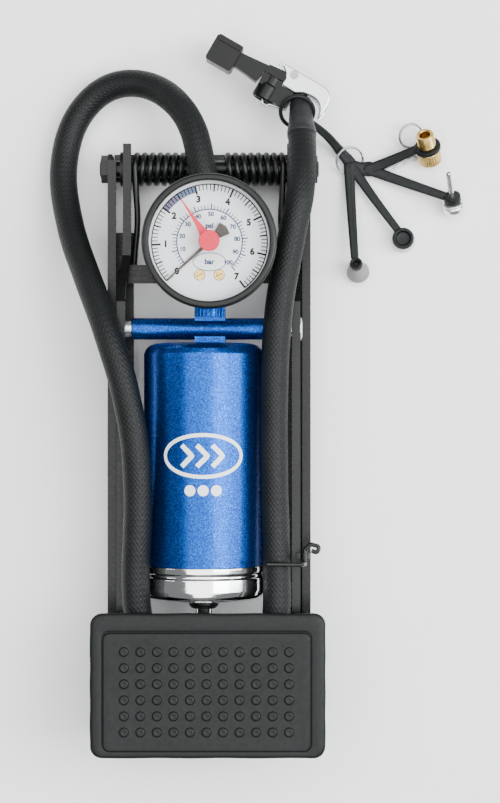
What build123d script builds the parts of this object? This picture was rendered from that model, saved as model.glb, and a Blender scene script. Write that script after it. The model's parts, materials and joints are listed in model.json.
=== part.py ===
from build123d import *
import math
import os

os.makedirs("parts", exist_ok=True)

# A folded single-barrel foot pump, lying on its base frame, in millimetres.
# +X is to the right, +Y towards the hinge end, +Z up. The origin is under the middle of the frame.

# ---- driving dimensions ----
HINGE_Y, HINGE_Z = 129.0, 16.0  # axis on which the lever frame opens, along X
TRUNNION_Y, TRUNNION_Z = 53.7, 32.0  # axis on which the barrel swings in the lever frame
EYE_Y = -92.0  # centre of the piston rod's eye, folded
FRONT_PIN_Y, FRONT_PIN_Z = -95.1, 35.2  # pin in the base frame that the eye hangs on
FLOOR_GAP = 4.0  # height of the rubber feet

BARREL_X, BARREL_Z = -2.3, 32.0  # barrel axis, along Y
BARREL_R, BARREL_WALL = 27.5, 1.5
BARREL_FRONT_Y, BARREL_BACK_Y = -55.0, 47.0
CAP_FRONT_Y = -71.0
ROD_R = 4.0
RUNNING = 0.05  # radial clearance of a running fit

LEVER_FACE = 42.0  # outer face of a lever rail, from the middle to the pedal
LEVER_FACE_HINGE = 40.0  # and at the hinge end
BASE_FACE = 47.2  # outer face of a base rail
BASE_INNER = 43.3
SHEET = 2.0  # thickness of the rails
SHAFT_R, BUSH_R = 4.0, 6.0
TRUNNION_PIN_R, TRUNNION_TUBE_R = 3.0, 5.0
FRONT_PIN_R = 2.5
EYE_HOLE_R, EYE_R = 7.6, 10.8  # the eye's hole is wide: see the note at the rod eye

PEDAL_HALF_X = 53.0
PEDAL_FRONT_Y, PEDAL_BACK_Y = -140.0, -74.8
PAN_Z, PAN_T, PAD_TOP = 55.0, 1.6, 61.0

GAUGE_X, GAUGE_Y = 0.8, 91.8
GAUGE_R, CASE_R = 30.2, 29.0
CASE_BOTTOM, GAUGE_TOP = 46.0, 68.0
DIAL_Z = 57.0

SPRING_R, WIRE_R, SPRING_PITCH, SPRING_TURNS = 6.55, 1.45, 3.6, 7
SPRING_INNER_X = 8.5

HOSE_R = 6.5

REACH, TALL = 60.0, 80.0  # beyond every part, for cuts that go right through


def prism(plane, points, depth):
    """A straight prism on a closed outline of points, from the plane along its normal."""
    with BuildPart() as body:
        with BuildSketch(plane):
            with BuildLine():
                Polyline(*points, close=True)
            make_face()
        extrude(amount=depth)
    return body.part


def formed_plate(plan, side):
    """Sheet whose plan (X, Y) and side view (Y, Z) are both given as outlines."""
    above = prism(Plane.XY, plan, TALL)
    across = prism(Plane.YZ.offset(-REACH), side, 2 * REACH)
    return above & across


def cylinder_x(radius, x0, x1, y, z):
    """A cylinder along X, from x0 to x1."""
    with BuildPart() as body:
        with BuildSketch(Plane.YZ.offset(x0)):
            with Locations((y, z)):
                Circle(radius)
        extrude(amount=x1 - x0)
    return body.part


def ring_x(radius, bore, x0, x1, y, z):
    """A ring about an axis along X."""
    with BuildPart() as body:
        with BuildSketch(Plane.YZ.offset(x0)):
            with Locations((y, z)):
                Circle(radius)
                Circle(bore, mode=Mode.SUBTRACT)
        extrude(amount=x1 - x0)
    return body.part


def turned(plane, profile):
    """A solid of revolution. The profile holds (radius, height) pairs about the plane's Z axis."""
    with BuildPart() as body:
        section = Plane(origin=plane.origin, x_dir=plane.x_dir, z_dir=-plane.y_dir)
        with BuildSketch(section):
            with BuildLine():
                Polyline(*profile, close=True)
            make_face()
        revolve(axis=Axis(plane.origin, plane.z_dir))
    return body.part


def wire(points, radius, bend):
    """Round wire along a route of straight runs and equal bends."""
    with BuildPart() as body:
        with BuildLine() as route:
            FilletPolyline(*points, radius=bend)
        with BuildSketch(Plane(origin=route.line @ 0, z_dir=route.line % 0)):
            Circle(radius)
        sweep(path=route.line)
    return body.part


def bar(start, end, width, thick):
    """A flat bar between two points, its width level."""
    start, end = Vector(*start), Vector(*end)
    along = end - start
    level = Vector(0, 0, 1).cross(along).normalized()
    with BuildPart() as body:
        with BuildSketch(Plane(origin=start, x_dir=level, z_dir=along)):
            RectangleRounded(width, thick, min(width, thick) * 0.3)
        extrude(amount=along.length)
    return body.part


# ---- base frame ----
# Each base rail is a formed channel: an upright web with lips turned inwards, and an ear for the front pin.
RAIL_TOP, RAIL_BOTTOM = 24.0, FLOOR_GAP
RAIL_BACK_Y = HINGE_Y + 6.5
RAIL_FRONT_Y = -138.0
EAR_TOP = FRONT_PIN_Z + 6.5
EAR_BACK_Y, EAR_FRONT_Y = -80, -112
base_side = [
    (RAIL_BACK_Y, RAIL_BOTTOM + 4),
    (RAIL_BACK_Y, RAIL_TOP - 3),
    (RAIL_BACK_Y - 3, RAIL_TOP),
    (EAR_BACK_Y, RAIL_TOP),
    (EAR_BACK_Y - 7, EAR_TOP),
    (EAR_FRONT_Y + 8, EAR_TOP),
    (EAR_FRONT_Y, RAIL_TOP),
    (RAIL_FRONT_Y, RAIL_TOP),
    (RAIL_FRONT_Y, RAIL_BOTTOM),
    (RAIL_BACK_Y - 4, RAIL_BOTTOM),
]
for name, side in (("base_rail_left", -1), ("base_rail_right", 1)):
    web_plan = [
        (side * (BASE_FACE - SHEET), RAIL_FRONT_Y),
        (side * BASE_FACE, RAIL_FRONT_Y),
        (side * BASE_FACE, RAIL_BACK_Y),
        (side * (BASE_FACE - SHEET), RAIL_BACK_Y),
    ]
    with BuildPart() as rail:
        add(formed_plate(web_plan, base_side))
        for lip_z, lip_y0, lip_y1, lip_x in (
            (RAIL_TOP - SHEET, EAR_BACK_Y, RAIL_BACK_Y - 3, BASE_INNER),
            (RAIL_BOTTOM, RAIL_FRONT_Y, 100, 36.0),
        ):
            with BuildSketch(Plane.XY.offset(lip_z)):
                with Locations((side * (lip_x + BASE_FACE) / 2, (lip_y0 + lip_y1) / 2)):
                    Rectangle(BASE_FACE - lip_x, lip_y1 - lip_y0)
            extrude(amount=SHEET)
        add(cylinder_x(SHAFT_R, -REACH, REACH, HINGE_Y, HINGE_Z), mode=Mode.SUBTRACT)
        add(cylinder_x(FRONT_PIN_R, -REACH, REACH, FRONT_PIN_Y, FRONT_PIN_Z), mode=Mode.SUBTRACT)
    rail.part.label = name
    export_step(rail.part, f"parts/{name}.step")

# Foot plate across the front, between the rails, with an upturned lip.
PLATE_HALF_X, PLATE_Y, PLATE_LONG = 45.0, -124.0, 26.0
PLATE_HOLE_R, PLATE_LIP_HIGH = 5.0, 9.0
with BuildPart() as front_plate:
    with BuildSketch(Plane.XY.offset(RAIL_BOTTOM + SHEET)):
        with Locations((0, PLATE_Y)):
            RectangleRounded(2 * PLATE_HALF_X, PLATE_LONG, 3)
        with GridLocations(PLATE_HALF_X - 1, 0, 2, 1):
            with Locations((0, PLATE_Y)):
                Circle(PLATE_HOLE_R, mode=Mode.SUBTRACT)
    extrude(amount=SHEET)
    with BuildSketch(Plane.XY.offset(RAIL_BOTTOM + 2 * SHEET)):
        with Locations((0, PLATE_Y - PLATE_LONG / 2 + 1.2)):
            Rectangle(2 * PLATE_HALF_X - 8, SHEET)
    extrude(amount=PLATE_LIP_HIGH)
front_plate.part.label = "base_front_plate"
export_step(front_plate.part, "parts/base_front_plate.step")

# Strip across the hinge end, under the springs.
STRIP_Y, STRIP_WIDE = 130.5, 13.0
with BuildPart() as rear_strip:
    with BuildSketch(Plane.XY.offset(RAIL_BOTTOM)):
        with Locations((0, STRIP_Y)):
            Rectangle(2 * (BASE_FACE - SHEET), STRIP_WIDE)
    extrude(amount=SHEET)
rear_strip.part.label = "base_rear_strip"
export_step(rear_strip.part, "parts/base_rear_strip.step")

FOOT_R, FOOT_X, FOOT_FRONT_Y = 6.0, 40.0, -128.0
with BuildPart() as feet:
    with BuildSketch(Plane.XY):
        with Locations((-FOOT_X, FOOT_FRONT_Y), (FOOT_X, FOOT_FRONT_Y)):
            Circle(FOOT_R)
        with Locations((-FOOT_X + 2, STRIP_Y), (FOOT_X - 2, STRIP_Y)):
            Circle(FOOT_R)
    extrude(amount=FLOOR_GAP)
    chamfer(feet.faces().sort_by(Axis.Z)[0].edges(), 1)
feet.part.label = "rubber_feet"
export_step(feet.part, "parts/rubber_feet.step")

with BuildPart() as shaft:
    add(cylinder_x(SHAFT_R, -BASE_FACE - 4, BASE_FACE + 4, HINGE_Y, HINGE_Z))
    chamfer(shaft.edges().filter_by(GeomType.CIRCLE), 0.6)
shaft.part.label = "hinge_shaft"
export_step(shaft.part, "parts/hinge_shaft.step")

NUT_R, NUT_T = 6.5, 3.4
with BuildPart() as shaft_nuts:
    for x0 in (-BASE_FACE - NUT_T, BASE_FACE):
        with BuildSketch(Plane.YZ.offset(x0)):
            with Locations((HINGE_Y, HINGE_Z)):
                RegularPolygon(NUT_R, 6, major_radius=True)
                Circle(SHAFT_R, mode=Mode.SUBTRACT)
        extrude(amount=NUT_T)
shaft_nuts.part.label = "shaft_nuts"
export_step(shaft_nuts.part, "parts/shaft_nuts.step")

PIN_HEAD_R, PIN_HEAD_T = 4.2, 1.8
with BuildPart() as front_pin:
    add(cylinder_x(FRONT_PIN_R, -BASE_FACE, BASE_FACE, FRONT_PIN_Y, FRONT_PIN_Z))
    for x0 in (-BASE_FACE - PIN_HEAD_T, BASE_FACE):
        add(cylinder_x(PIN_HEAD_R, x0, x0 + PIN_HEAD_T, FRONT_PIN_Y, FRONT_PIN_Z))
    fillet(front_pin.edges().filter_by(GeomType.CIRCLE).group_by(Axis.X)[0], 0.8)
    fillet(front_pin.edges().filter_by(GeomType.CIRCLE).group_by(Axis.X)[-1], 0.8)
front_pin.part.label = "front_pin"
export_step(front_pin.part, "parts/front_pin.step")

# Tubes on the front pin, with a washer on each side of the rod's eye.
EYE_HALF, WASHER_T, WASHER_GAP = 4.5, 1.5, 0.3
WASHER_R, SPACER_R = 11.8, 3.8
with BuildPart() as spacers:
    for side in (-1, 1):
        near_x = BARREL_X + side * (EYE_HALF + WASHER_GAP)
        far_x = near_x + side * WASHER_T
        washer = sorted((near_x, far_x))
        tube = sorted((far_x, side * (BASE_FACE - SHEET)))
        add(ring_x(WASHER_R, FRONT_PIN_R, *washer, FRONT_PIN_Y, FRONT_PIN_Z))
        add(ring_x(SPACER_R, FRONT_PIN_R, *tube, FRONT_PIN_Y, FRONT_PIN_Z))
spacers.part.label = "pin_spacers"
export_step(spacers.part, "parts/pin_spacers.step")

# ---- lever frame ----
# Each lever rail is a bent angle: an upright web and a lip turned inwards along its top edge.
lever_top = [(140, 25), (116, 25), (88, 27), (66, 40), (40, 41), (-76, 43), (-88, PAN_Z), (-138, PAN_Z)]
lever_bottom = [(-138, 43), (-84, 41.5), (-76, 33), (40, 29), (60, 25), (86, 12), (HINGE_Y - 12, 8)]
LIP_WIDE = 3.8
nose = [
    (HINGE_Y + 9.0 * math.cos(a), HINGE_Z + 9.0 * math.sin(a))
    for a in (math.radians(d) for d in range(-110, -9, 20))
]
lever_side = lever_top + lever_bottom + nose + [(140, 18)]
lip_band = [(y, z) for y, z in lever_top if y >= -80]
lip_band += [(y, z - SHEET) for y, z in reversed(lip_band)]
for name, side in (("lever_rail_left", -1), ("lever_rail_right", 1)):
    outer = [(LEVER_FACE_HINGE, 142), (LEVER_FACE_HINGE, 90), (LEVER_FACE, 72), (LEVER_FACE, -140)]

    def strip(width):
        edge = [(side * x, y) for x, y in outer]
        return edge + [(side * (x - width), y) for x, y in reversed(outer)]

    with BuildPart() as rail:
        add(formed_plate(strip(SHEET), lever_side))
        add(formed_plate(strip(LIP_WIDE), lip_band))
        add(cylinder_x(BUSH_R, -REACH, REACH, HINGE_Y, HINGE_Z), mode=Mode.SUBTRACT)
        add(cylinder_x(TRUNNION_PIN_R, -REACH, REACH, TRUNNION_Y, TRUNNION_Z), mode=Mode.SUBTRACT)
    rail.part.label = name
    export_step(rail.part, f"parts/{name}.step")

# Ribbed plate that ties the lever rails together behind the barrel.
CROSS_Y, CROSS_WIDE, CROSS_Z = 79.5, 8.6, 20.0
CROSS_T, RIB_PITCH, RIB_WIDE, RIB_HIGH = 2.2, 2.4, 1.2, 0.8
with BuildPart() as cross_plate:
    with BuildSketch(Plane.XY.offset(CROSS_Z)):
        with Locations((0, CROSS_Y)):
            Rectangle(2 * (LEVER_FACE_HINGE - SHEET) - 0.2, CROSS_WIDE)
    extrude(amount=CROSS_T)
    with BuildSketch(Plane.XY.offset(CROSS_Z + CROSS_T)):
        with Locations((0, CROSS_Y)):
            with GridLocations(0, RIB_PITCH, 1, 3):
                Rectangle(2 * (LEVER_FACE_HINGE - SHEET) - 4, RIB_WIDE)
    extrude(amount=RIB_HIGH)
cross_plate.part.label = "lever_cross_plate"
export_step(cross_plate.part, "parts/lever_cross_plate.step")

FLANGE_R, FLANGE_T, BUSH_LONG = 8.0, 1.5, 3.6
with BuildPart() as bushes:
    for side in (-1, 1):
        flange = sorted((side * LEVER_FACE_HINGE, side * (LEVER_FACE_HINGE + FLANGE_T)))
        sleeve = sorted((side * (LEVER_FACE_HINGE - BUSH_LONG), side * LEVER_FACE_HINGE))
        add(ring_x(FLANGE_R, SHAFT_R + RUNNING, *flange, HINGE_Y, HINGE_Z))
        add(ring_x(BUSH_R, SHAFT_R + RUNNING, *sleeve, HINGE_Y, HINGE_Z))
bushes.part.label = "hinge_bushes"
export_step(bushes.part, "parts/hinge_bushes.step")

# Torsion springs on the hinge shaft. The outer leg bears under the cross plate, the inner on the strip.
for name, side in (("torsion_spring_left", -1), ("torsion_spring_right", 1)):
    start_x = side * SPRING_INNER_X
    length = SPRING_PITCH * (SPRING_TURNS + 0.25)
    coil_plane = Plane(origin=(start_x, HINGE_Y, HINGE_Z), x_dir=(0, 1, 0), z_dir=(side, 0, 0))
    coil = Helix(SPRING_PITCH, length, SPRING_R, lefthand=side < 0).moved(coil_plane.location)
    with BuildPart() as spring:
        with BuildSketch(Plane(origin=coil @ 0, z_dir=coil % 0)):
            Circle(WIRE_R)
        sweep(path=coil, is_frenet=True)
    end_x = start_x + side * length
    inner_leg = [(start_x, HINGE_Y + SPRING_R, HINGE_Z), (start_x, HINGE_Y + SPRING_R, RAIL_BOTTOM + SHEET)]
    top_z = HINGE_Z + SPRING_R
    with BuildPart() as legs:
        with BuildSketch(Plane(origin=inner_leg[0], z_dir=(0, 0, -1))):
            Circle(WIRE_R)
        extrude(amount=inner_leg[0][2] - inner_leg[1][2])
        add(
            wire(
                [
                    (end_x, HINGE_Y, top_z),
                    (end_x - side * 1.5, 104, top_z - 2),
                    (end_x + side * 0.8, 83, CROSS_Z - WIRE_R - 0.2),
                    (end_x + side * 0.8, 76, CROSS_Z - WIRE_R - 0.2),
                ],
                WIRE_R,
                4,
            )
        )
    with BuildPart() as whole:
        add(spring.part)
        add(legs.part)
    whole.part.label = name
    export_step(whole.part, f"parts/{name}.step")

# Pedal: a pressed pan on the rails, and a studded rubber pad on it.
with BuildPart() as pan:
    with BuildSketch(Plane.XY.offset(PAN_Z)):
        with Locations((0, (PEDAL_FRONT_Y + PEDAL_BACK_Y) / 2)):
            RectangleRounded(2 * PEDAL_HALF_X - 5, PEDAL_BACK_Y - PEDAL_FRONT_Y - 4, 4)
    extrude(amount=PAN_T)
    with BuildSketch(Plane.XY.offset(PAN_Z - 4)):
        with Locations((0, PEDAL_FRONT_Y + 2 + PAN_T / 2)):
            Rectangle(72, PAN_T)
    extrude(amount=4)
pan.part.label = "pedal_pan"
export_step(pan.part, "parts/pedal_pan.step")

STUD_COUNT_X, STUD_COUNT_Y = 11, 6
STUD_PITCH_X, STUD_PITCH_Y = 7.4, 7.2
STUD_R, STUD_HIGH, FIELD_HIGH = 2.1, 0.6, 0.8
FIELD_X, FIELD_Y, FIELD_WIDE, FIELD_LONG = -0.5, -110.0, 93.0, 53.0
FIELD_Z = PAD_TOP - STUD_HIGH - FIELD_HIGH
PAD_Z = PAN_Z + PAN_T
with BuildPart() as pad:
    with BuildSketch(Plane.XY.offset(PAD_Z)):
        with Locations((0, (PEDAL_FRONT_Y + PEDAL_BACK_Y) / 2)):
            RectangleRounded(2 * PEDAL_HALF_X, PEDAL_BACK_Y - PEDAL_FRONT_Y, 5)
    extrude(amount=FIELD_Z - PAD_Z)
    chamfer(pad.faces().sort_by(Axis.Z)[-1].edges(), 1.2)
    with BuildSketch(Plane.XY.offset(FIELD_Z)):
        with Locations((FIELD_X, FIELD_Y)):
            RectangleRounded(FIELD_WIDE, FIELD_LONG, 3)
    extrude(amount=FIELD_HIGH)
    with BuildSketch(Plane.XY.offset(PAD_TOP - STUD_HIGH)):
        with Locations((FIELD_X, FIELD_Y)):
            with GridLocations(STUD_PITCH_X, STUD_PITCH_Y, STUD_COUNT_X, STUD_COUNT_Y):
                Circle(STUD_R)
    extrude(amount=STUD_HIGH)
pad.part.label = "pedal_pad"
export_step(pad.part, "parts/pedal_pad.step")

RIVET_R, RIVET_HIGH, RIVET_Y = 3.0, 1.6, -108.0
with BuildPart() as pan_rivets:
    with BuildSketch(Plane.XY.offset(PAN_Z - RIVET_HIGH)):
        with GridLocations(60, 40, 2, 2):
            with Locations((0, RIVET_Y)):
                Circle(RIVET_R)
    extrude(amount=RIVET_HIGH)
    fillet(pan_rivets.faces().filter_by(Axis.Z).group_by(Axis.Z)[0].edges(), 1)
pan_rivets.part.label = "pedal_rivets"
export_step(pan_rivets.part, "parts/pedal_rivets.step")

with BuildPart() as trunnion_pin:
    add(cylinder_x(TRUNNION_PIN_R, -LEVER_FACE, LEVER_FACE, TRUNNION_Y, TRUNNION_Z))
    for side in (-1, 1):
        head_plane = Plane(origin=(side * LEVER_FACE, TRUNNION_Y, TRUNNION_Z), z_dir=(side, 0, 0))
        add(turned(head_plane, [(0, 0), (5.6, 0), (5.6, 0.4), (4.2, 1.0), (0, 1.1)]))
trunnion_pin.part.label = "trunnion_pin"
export_step(trunnion_pin.part, "parts/trunnion_pin.step")

# Collars that keep the trunnion tube central between the rails.
TUBE_HALF, COLLAR_R = 35.5, 3.9
with BuildPart() as collars:
    for side in (-1, 1):
        span = sorted((side * (TUBE_HALF + 0.1), side * (LEVER_FACE - SHEET)))
        add(ring_x(COLLAR_R, TRUNNION_PIN_R, *span, TRUNNION_Y, TRUNNION_Z))
collars.part.label = "trunnion_collars"
export_step(collars.part, "parts/trunnion_collars.step")

# Rivets that hold the cross plate's ends to the rails.
with BuildPart() as rail_rivets:
    for side in (-1, 1):
        rivet_plane = Plane(origin=(side * (LEVER_FACE - 0.82), CROSS_Y, CROSS_Z + 1), z_dir=(side, 0, 0))
        add(turned(rivet_plane, [(0, 0), (2.6, 0), (2.6, 0.4), (1.8, 0.9), (0, 1.0)]))
rail_rivets.part.label = "cross_plate_rivets"
export_step(rail_rivets.part, "parts/cross_plate_rivets.step")

# Wire catch that folds over the stowed hose, and the lug it turns in.
CATCH_X, CATCH_Y, CATCH_Z, CATCH_R = 43.9, -50.0, 46.6, 1.0
with BuildPart() as catch_lug:
    with BuildSketch(Plane.XZ.offset(-CATCH_Y - 1.4)):
        with Locations((CATCH_X, CATCH_Z)):
            Circle(2.1)
        with Locations((41.1, 44.6)):
            Rectangle(1.8, 3.9)
        with Locations((42.2, CATCH_Z - 0.3)):
            Rectangle(3.0, 1.6)
        with Locations((CATCH_X, CATCH_Z)):
            Circle(CATCH_R + RUNNING, mode=Mode.SUBTRACT)
    extrude(amount=2.8)
catch_lug.part.label = "catch_lug"
export_step(catch_lug.part, "parts/catch_lug.step")

with BuildPart() as catch:
    add(
        wire(
            [
                (26.7, -53.0, 56.4),
                (42.6, -53.2, 56.2),
                (43.9, -53.6, CATCH_Z),
                (CATCH_X, -47.2, CATCH_Z),
                (46.6, -44.6, CATCH_Z + 0.6),
                (50.6, -45.6, CATCH_Z + 1.0),
                (49.4, -48.6, CATCH_Z + 1.2),
                (46.9, -47.4, CATCH_Z + 1.0),
            ],
            CATCH_R,
            1.2,
        )
    )
catch.part.label = "catch_wire"
export_step(catch.part, "parts/catch_wire.step")

# ---- barrel ----
BLOCK_X, BLOCK_Z, BLOCK_R = 0.6, 34.0, 7.0
BLOCK_END_Y, AIRWAY_R = 70.0, 2.0
STEM_Y, STEM_R, STEM_BORE_R, STEM_BOTTOM = 66.3, 3.2, 1.4, 38.5
FLUTE_COUNT, FLUTE_R, SADDLE_END_Y, SADDLE_TOP = 22, 0.5, 59.5, 35.5
barrel_plane = Plane(origin=(BARREL_X, 0, BARREL_Z), x_dir=(1, 0, 0), z_dir=(0, 1, 0))
BORE_R = BARREL_R - BARREL_WALL
with BuildPart() as barrel:
    add(
        turned(
            barrel_plane,
            [
                (BORE_R, BARREL_FRONT_Y - 6),
                (BARREL_R - 0.6, BARREL_FRONT_Y - 6),
                (BARREL_R - 0.6, BARREL_FRONT_Y),
                (BARREL_R, BARREL_FRONT_Y),
                (BARREL_R, BARREL_BACK_Y - 5),
                (BARREL_R - 1.5, BARREL_BACK_Y - 1.8),
                (BARREL_R - 4.5, BARREL_BACK_Y - 0.3),
                (BARREL_R - 8, BARREL_BACK_Y),
                (0, BARREL_BACK_Y),
                (0, BARREL_BACK_Y - 2.5),
                (BORE_R - 4, BARREL_BACK_Y - 2.5),
                (BORE_R, BARREL_BACK_Y - 6.5),
            ],
        )
    )
    with BuildSketch(Plane.XZ.offset(-BARREL_BACK_Y + 5)):
        with Locations((BLOCK_X, BLOCK_Z)):
            Circle(AIRWAY_R)
    extrude(amount=-8, mode=Mode.SUBTRACT)
barrel.part.label = "barrel_tube"
export_step(barrel.part, "parts/barrel_tube.step")

# Outlet block on the closed end: a saddle for the trunnion tube, then a fluted boss with the air way.
BOSS_Y, BOSS_R = SADDLE_END_Y - 0.3, BLOCK_R - 0.35
block_plane = Plane(origin=(BLOCK_X, BOSS_Y, BLOCK_Z), x_dir=(1, 0, 0), z_dir=(0, 1, 0))
with BuildPart() as block:
    with BuildSketch(Plane.XY.offset(SADDLE_TOP - 10.5)):
        with Locations((BLOCK_X, (BARREL_BACK_Y + SADDLE_END_Y) / 2)):
            Rectangle(2 * BLOCK_R, SADDLE_END_Y - BARREL_BACK_Y)
    extrude(amount=10.5)
    with BuildSketch(block_plane):
        Circle(BOSS_R)
        with PolarLocations(BOSS_R, FLUTE_COUNT):
            Circle(FLUTE_R)
    extrude(amount=BLOCK_END_Y - BOSS_Y)
    add(cylinder_x(TRUNNION_TUBE_R, -20, 20, TRUNNION_Y, TRUNNION_Z), mode=Mode.SUBTRACT)
    with BuildSketch(Plane.XZ.offset(-62)):
        with Locations((BLOCK_X, BLOCK_Z)):
            Circle(AIRWAY_R)
    extrude(amount=-12, mode=Mode.SUBTRACT)
    with BuildSketch(Plane.XY.offset(STEM_BOTTOM)):
        with Locations((BLOCK_X, STEM_Y)):
            Circle(STEM_R)
    extrude(amount=10, mode=Mode.SUBTRACT)
    with BuildSketch(Plane.XY.offset(BLOCK_Z)):
        with Locations((BLOCK_X, STEM_Y)):
            Circle(STEM_BORE_R)
    extrude(amount=10, mode=Mode.SUBTRACT)
block.part.label = "outlet_block"
export_step(block.part, "parts/outlet_block.step")

with BuildPart() as trunnion_tube:
    add(
        ring_x(
            TRUNNION_TUBE_R, TRUNNION_PIN_R + RUNNING, -TUBE_HALF, TUBE_HALF, TRUNNION_Y, TRUNNION_Z
        )
    )
trunnion_tube.part.label = "trunnion_tube"
export_step(trunnion_tube.part, "parts/trunnion_tube.step")

# Chrome cap rolled over the open end, with a bead and a domed rim.
CAP_R = BARREL_R + 0.4
GLAND_R = 6.75
with BuildPart() as cap:
    add(
        turned(
            barrel_plane,
            [
                (BARREL_R - 0.6, BARREL_FRONT_Y),
                (CAP_R, BARREL_FRONT_Y),
                (CAP_R, -57.8),
                (CAP_R - 0.7, -58.6),
                (CAP_R - 0.7, -59.4),
                (CAP_R, -60.2),
                (CAP_R, -66.5),
                (CAP_R - 1.0, -69.0),
                (CAP_R - 3.5, -70.4),
                (CAP_R - 9, -71.0),
                (GLAND_R, CAP_FRONT_Y),
                (GLAND_R, CAP_FRONT_Y + 2),
                (CAP_R - 5, CAP_FRONT_Y + 2.6),
                (BARREL_R - 1.6, -66.5),
                (BARREL_R - 1.6, -61.0),
                (BARREL_R - 0.6, -61.0),
            ],
        )
    )
cap.part.label = "barrel_cap"
export_step(cap.part, "parts/barrel_cap.step")

with BuildPart() as gland:
    add(
        turned(
            barrel_plane,
            [
                (ROD_R + RUNNING, CAP_FRONT_Y - 4),
                (5.4, CAP_FRONT_Y - 4),
                (GLAND_R, CAP_FRONT_Y - 2.6),
                (GLAND_R, CAP_FRONT_Y + 3.4),
                (9.5, CAP_FRONT_Y + 3.4),
                (9.5, CAP_FRONT_Y + 5),
                (ROD_R + RUNNING, CAP_FRONT_Y + 5),
            ],
        )
    )
gland.part.label = "rod_gland"
export_step(gland.part, "parts/rod_gland.step")

with BuildPart() as nipple:
    nipple_plane = Plane(origin=(BLOCK_X, BLOCK_END_Y, BLOCK_Z), x_dir=(1, 0, 0), z_dir=(0, 1, 0))
    add(
        turned(
            nipple_plane,
            [(2, 0), (6.2, 0), (6.2, 1.2), (4.6, 1.6), (4.9, 2.2), (4.4, 2.7), (2, 2.7)],
        )
    )
nipple.part.label = "hose_nipple"
export_step(nipple.part, "parts/hose_nipple.step")

# ---- gauge ----
gauge_plane = Plane(origin=(GAUGE_X, GAUGE_Y, 0), x_dir=(1, 0, 0), z_dir=(0, 0, 1))
with BuildPart() as stem:
    with BuildSketch(Plane.XY.offset(STEM_BOTTOM)):
        with Locations((BLOCK_X, STEM_Y)):
            Circle(STEM_R)
            Circle(STEM_BORE_R, mode=Mode.SUBTRACT)
    extrude(amount=CASE_BOTTOM + 2.5 - STEM_BOTTOM)
stem.part.label = "gauge_stem"
export_step(stem.part, "parts/gauge_stem.step")

with BuildPart() as case:
    add(
        turned(
            gauge_plane,
            [
                (0, CASE_BOTTOM),
                (CASE_R - 3, CASE_BOTTOM),
                (CASE_R - 0.9, CASE_BOTTOM + 0.9),
                (CASE_R, CASE_BOTTOM + 3),
                (CASE_R, 64),
                (CASE_R - 1.2, 64),
                (CASE_R - 1.2, CASE_BOTTOM + 3.4),
                (CASE_R - 3.2, CASE_BOTTOM + 1.4),
                (0, CASE_BOTTOM + 1.4),
            ],
        )
    )
    with BuildSketch(Plane.XY.offset(CASE_BOTTOM - 1)):
        with Locations((BLOCK_X, STEM_Y)):
            Circle(STEM_R)
    extrude(amount=4, mode=Mode.SUBTRACT)
case.part.label = "gauge_case"
export_step(case.part, "parts/gauge_case.step")

LENS_R, LENS_Z, LENS_T = 28.2, 64.0, 1.6
with BuildPart() as bezel:
    add(
        turned(
            gauge_plane,
            [
                (CASE_R, 58.5),
                (GAUGE_R - 0.3, 58.5),
                (GAUGE_R, 59.2),
                (GAUGE_R, 66.4),
                (GAUGE_R - 0.8, 67.6),
                (GAUGE_R - 1.8, GAUGE_TOP),
                (GAUGE_R - 2.8, 67.6),
                (GAUGE_R - 3.4, 66.4),
                (GAUGE_R - 3.4, LENS_Z + LENS_T),
                (LENS_R, LENS_Z + LENS_T),
                (LENS_R, LENS_Z),
                (CASE_R, LENS_Z),
            ],
        )
    )
bezel.part.label = "gauge_bezel"
export_step(bezel.part, "parts/gauge_bezel.step")

MARKER_SHAFT_R = 1.2
with BuildPart() as lens:
    add(
        turned(
            gauge_plane,
            [
                (MARKER_SHAFT_R + RUNNING, LENS_Z),
                (LENS_R, LENS_Z),
                (LENS_R, LENS_Z + LENS_T),
                (MARKER_SHAFT_R + RUNNING, LENS_Z + LENS_T),
            ],
        )
    )
lens.part.label = "gauge_lens"
export_step(lens.part, "parts/gauge_lens.step")

DIAL_R, DIAL_T = 27.7, 0.8
SCREW_X, SCREW_Y, SCREW_HEAD_R, SCREW_R = 4.4, -14.8, 2.2, 0.9
with BuildPart() as dial:
    with BuildSketch(gauge_plane.offset(DIAL_Z)):
        Circle(DIAL_R)
        Circle(2.2, mode=Mode.SUBTRACT)
        with Locations((-SCREW_X, SCREW_Y), (SCREW_X, SCREW_Y)):
            Circle(SCREW_R, mode=Mode.SUBTRACT)
    extrude(amount=DIAL_T)
dial.part.label = "gauge_dial"
export_step(dial.part, "parts/gauge_dial.step")

with BuildPart() as screws:
    with BuildSketch(gauge_plane.offset(DIAL_Z + DIAL_T)):
        with Locations((-SCREW_X, SCREW_Y), (SCREW_X, SCREW_Y)):
            Circle(SCREW_HEAD_R)
    extrude(amount=0.7)
    with BuildSketch(gauge_plane.offset(DIAL_Z + DIAL_T + 0.35)):
        with Locations((-SCREW_X, SCREW_Y), (SCREW_X, SCREW_Y)):
            Rectangle(2 * SCREW_HEAD_R, 0.5, rotation=25)
    extrude(amount=1, mode=Mode.SUBTRACT)
    with BuildSketch(gauge_plane.offset(DIAL_Z - 1.4)):
        with Locations((-SCREW_X, SCREW_Y), (SCREW_X, SCREW_Y)):
            Circle(SCREW_R)
    extrude(amount=1.4 + DIAL_T)
screws.part.label = "gauge_screws"
export_step(screws.part, "parts/gauge_screws.step")

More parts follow.
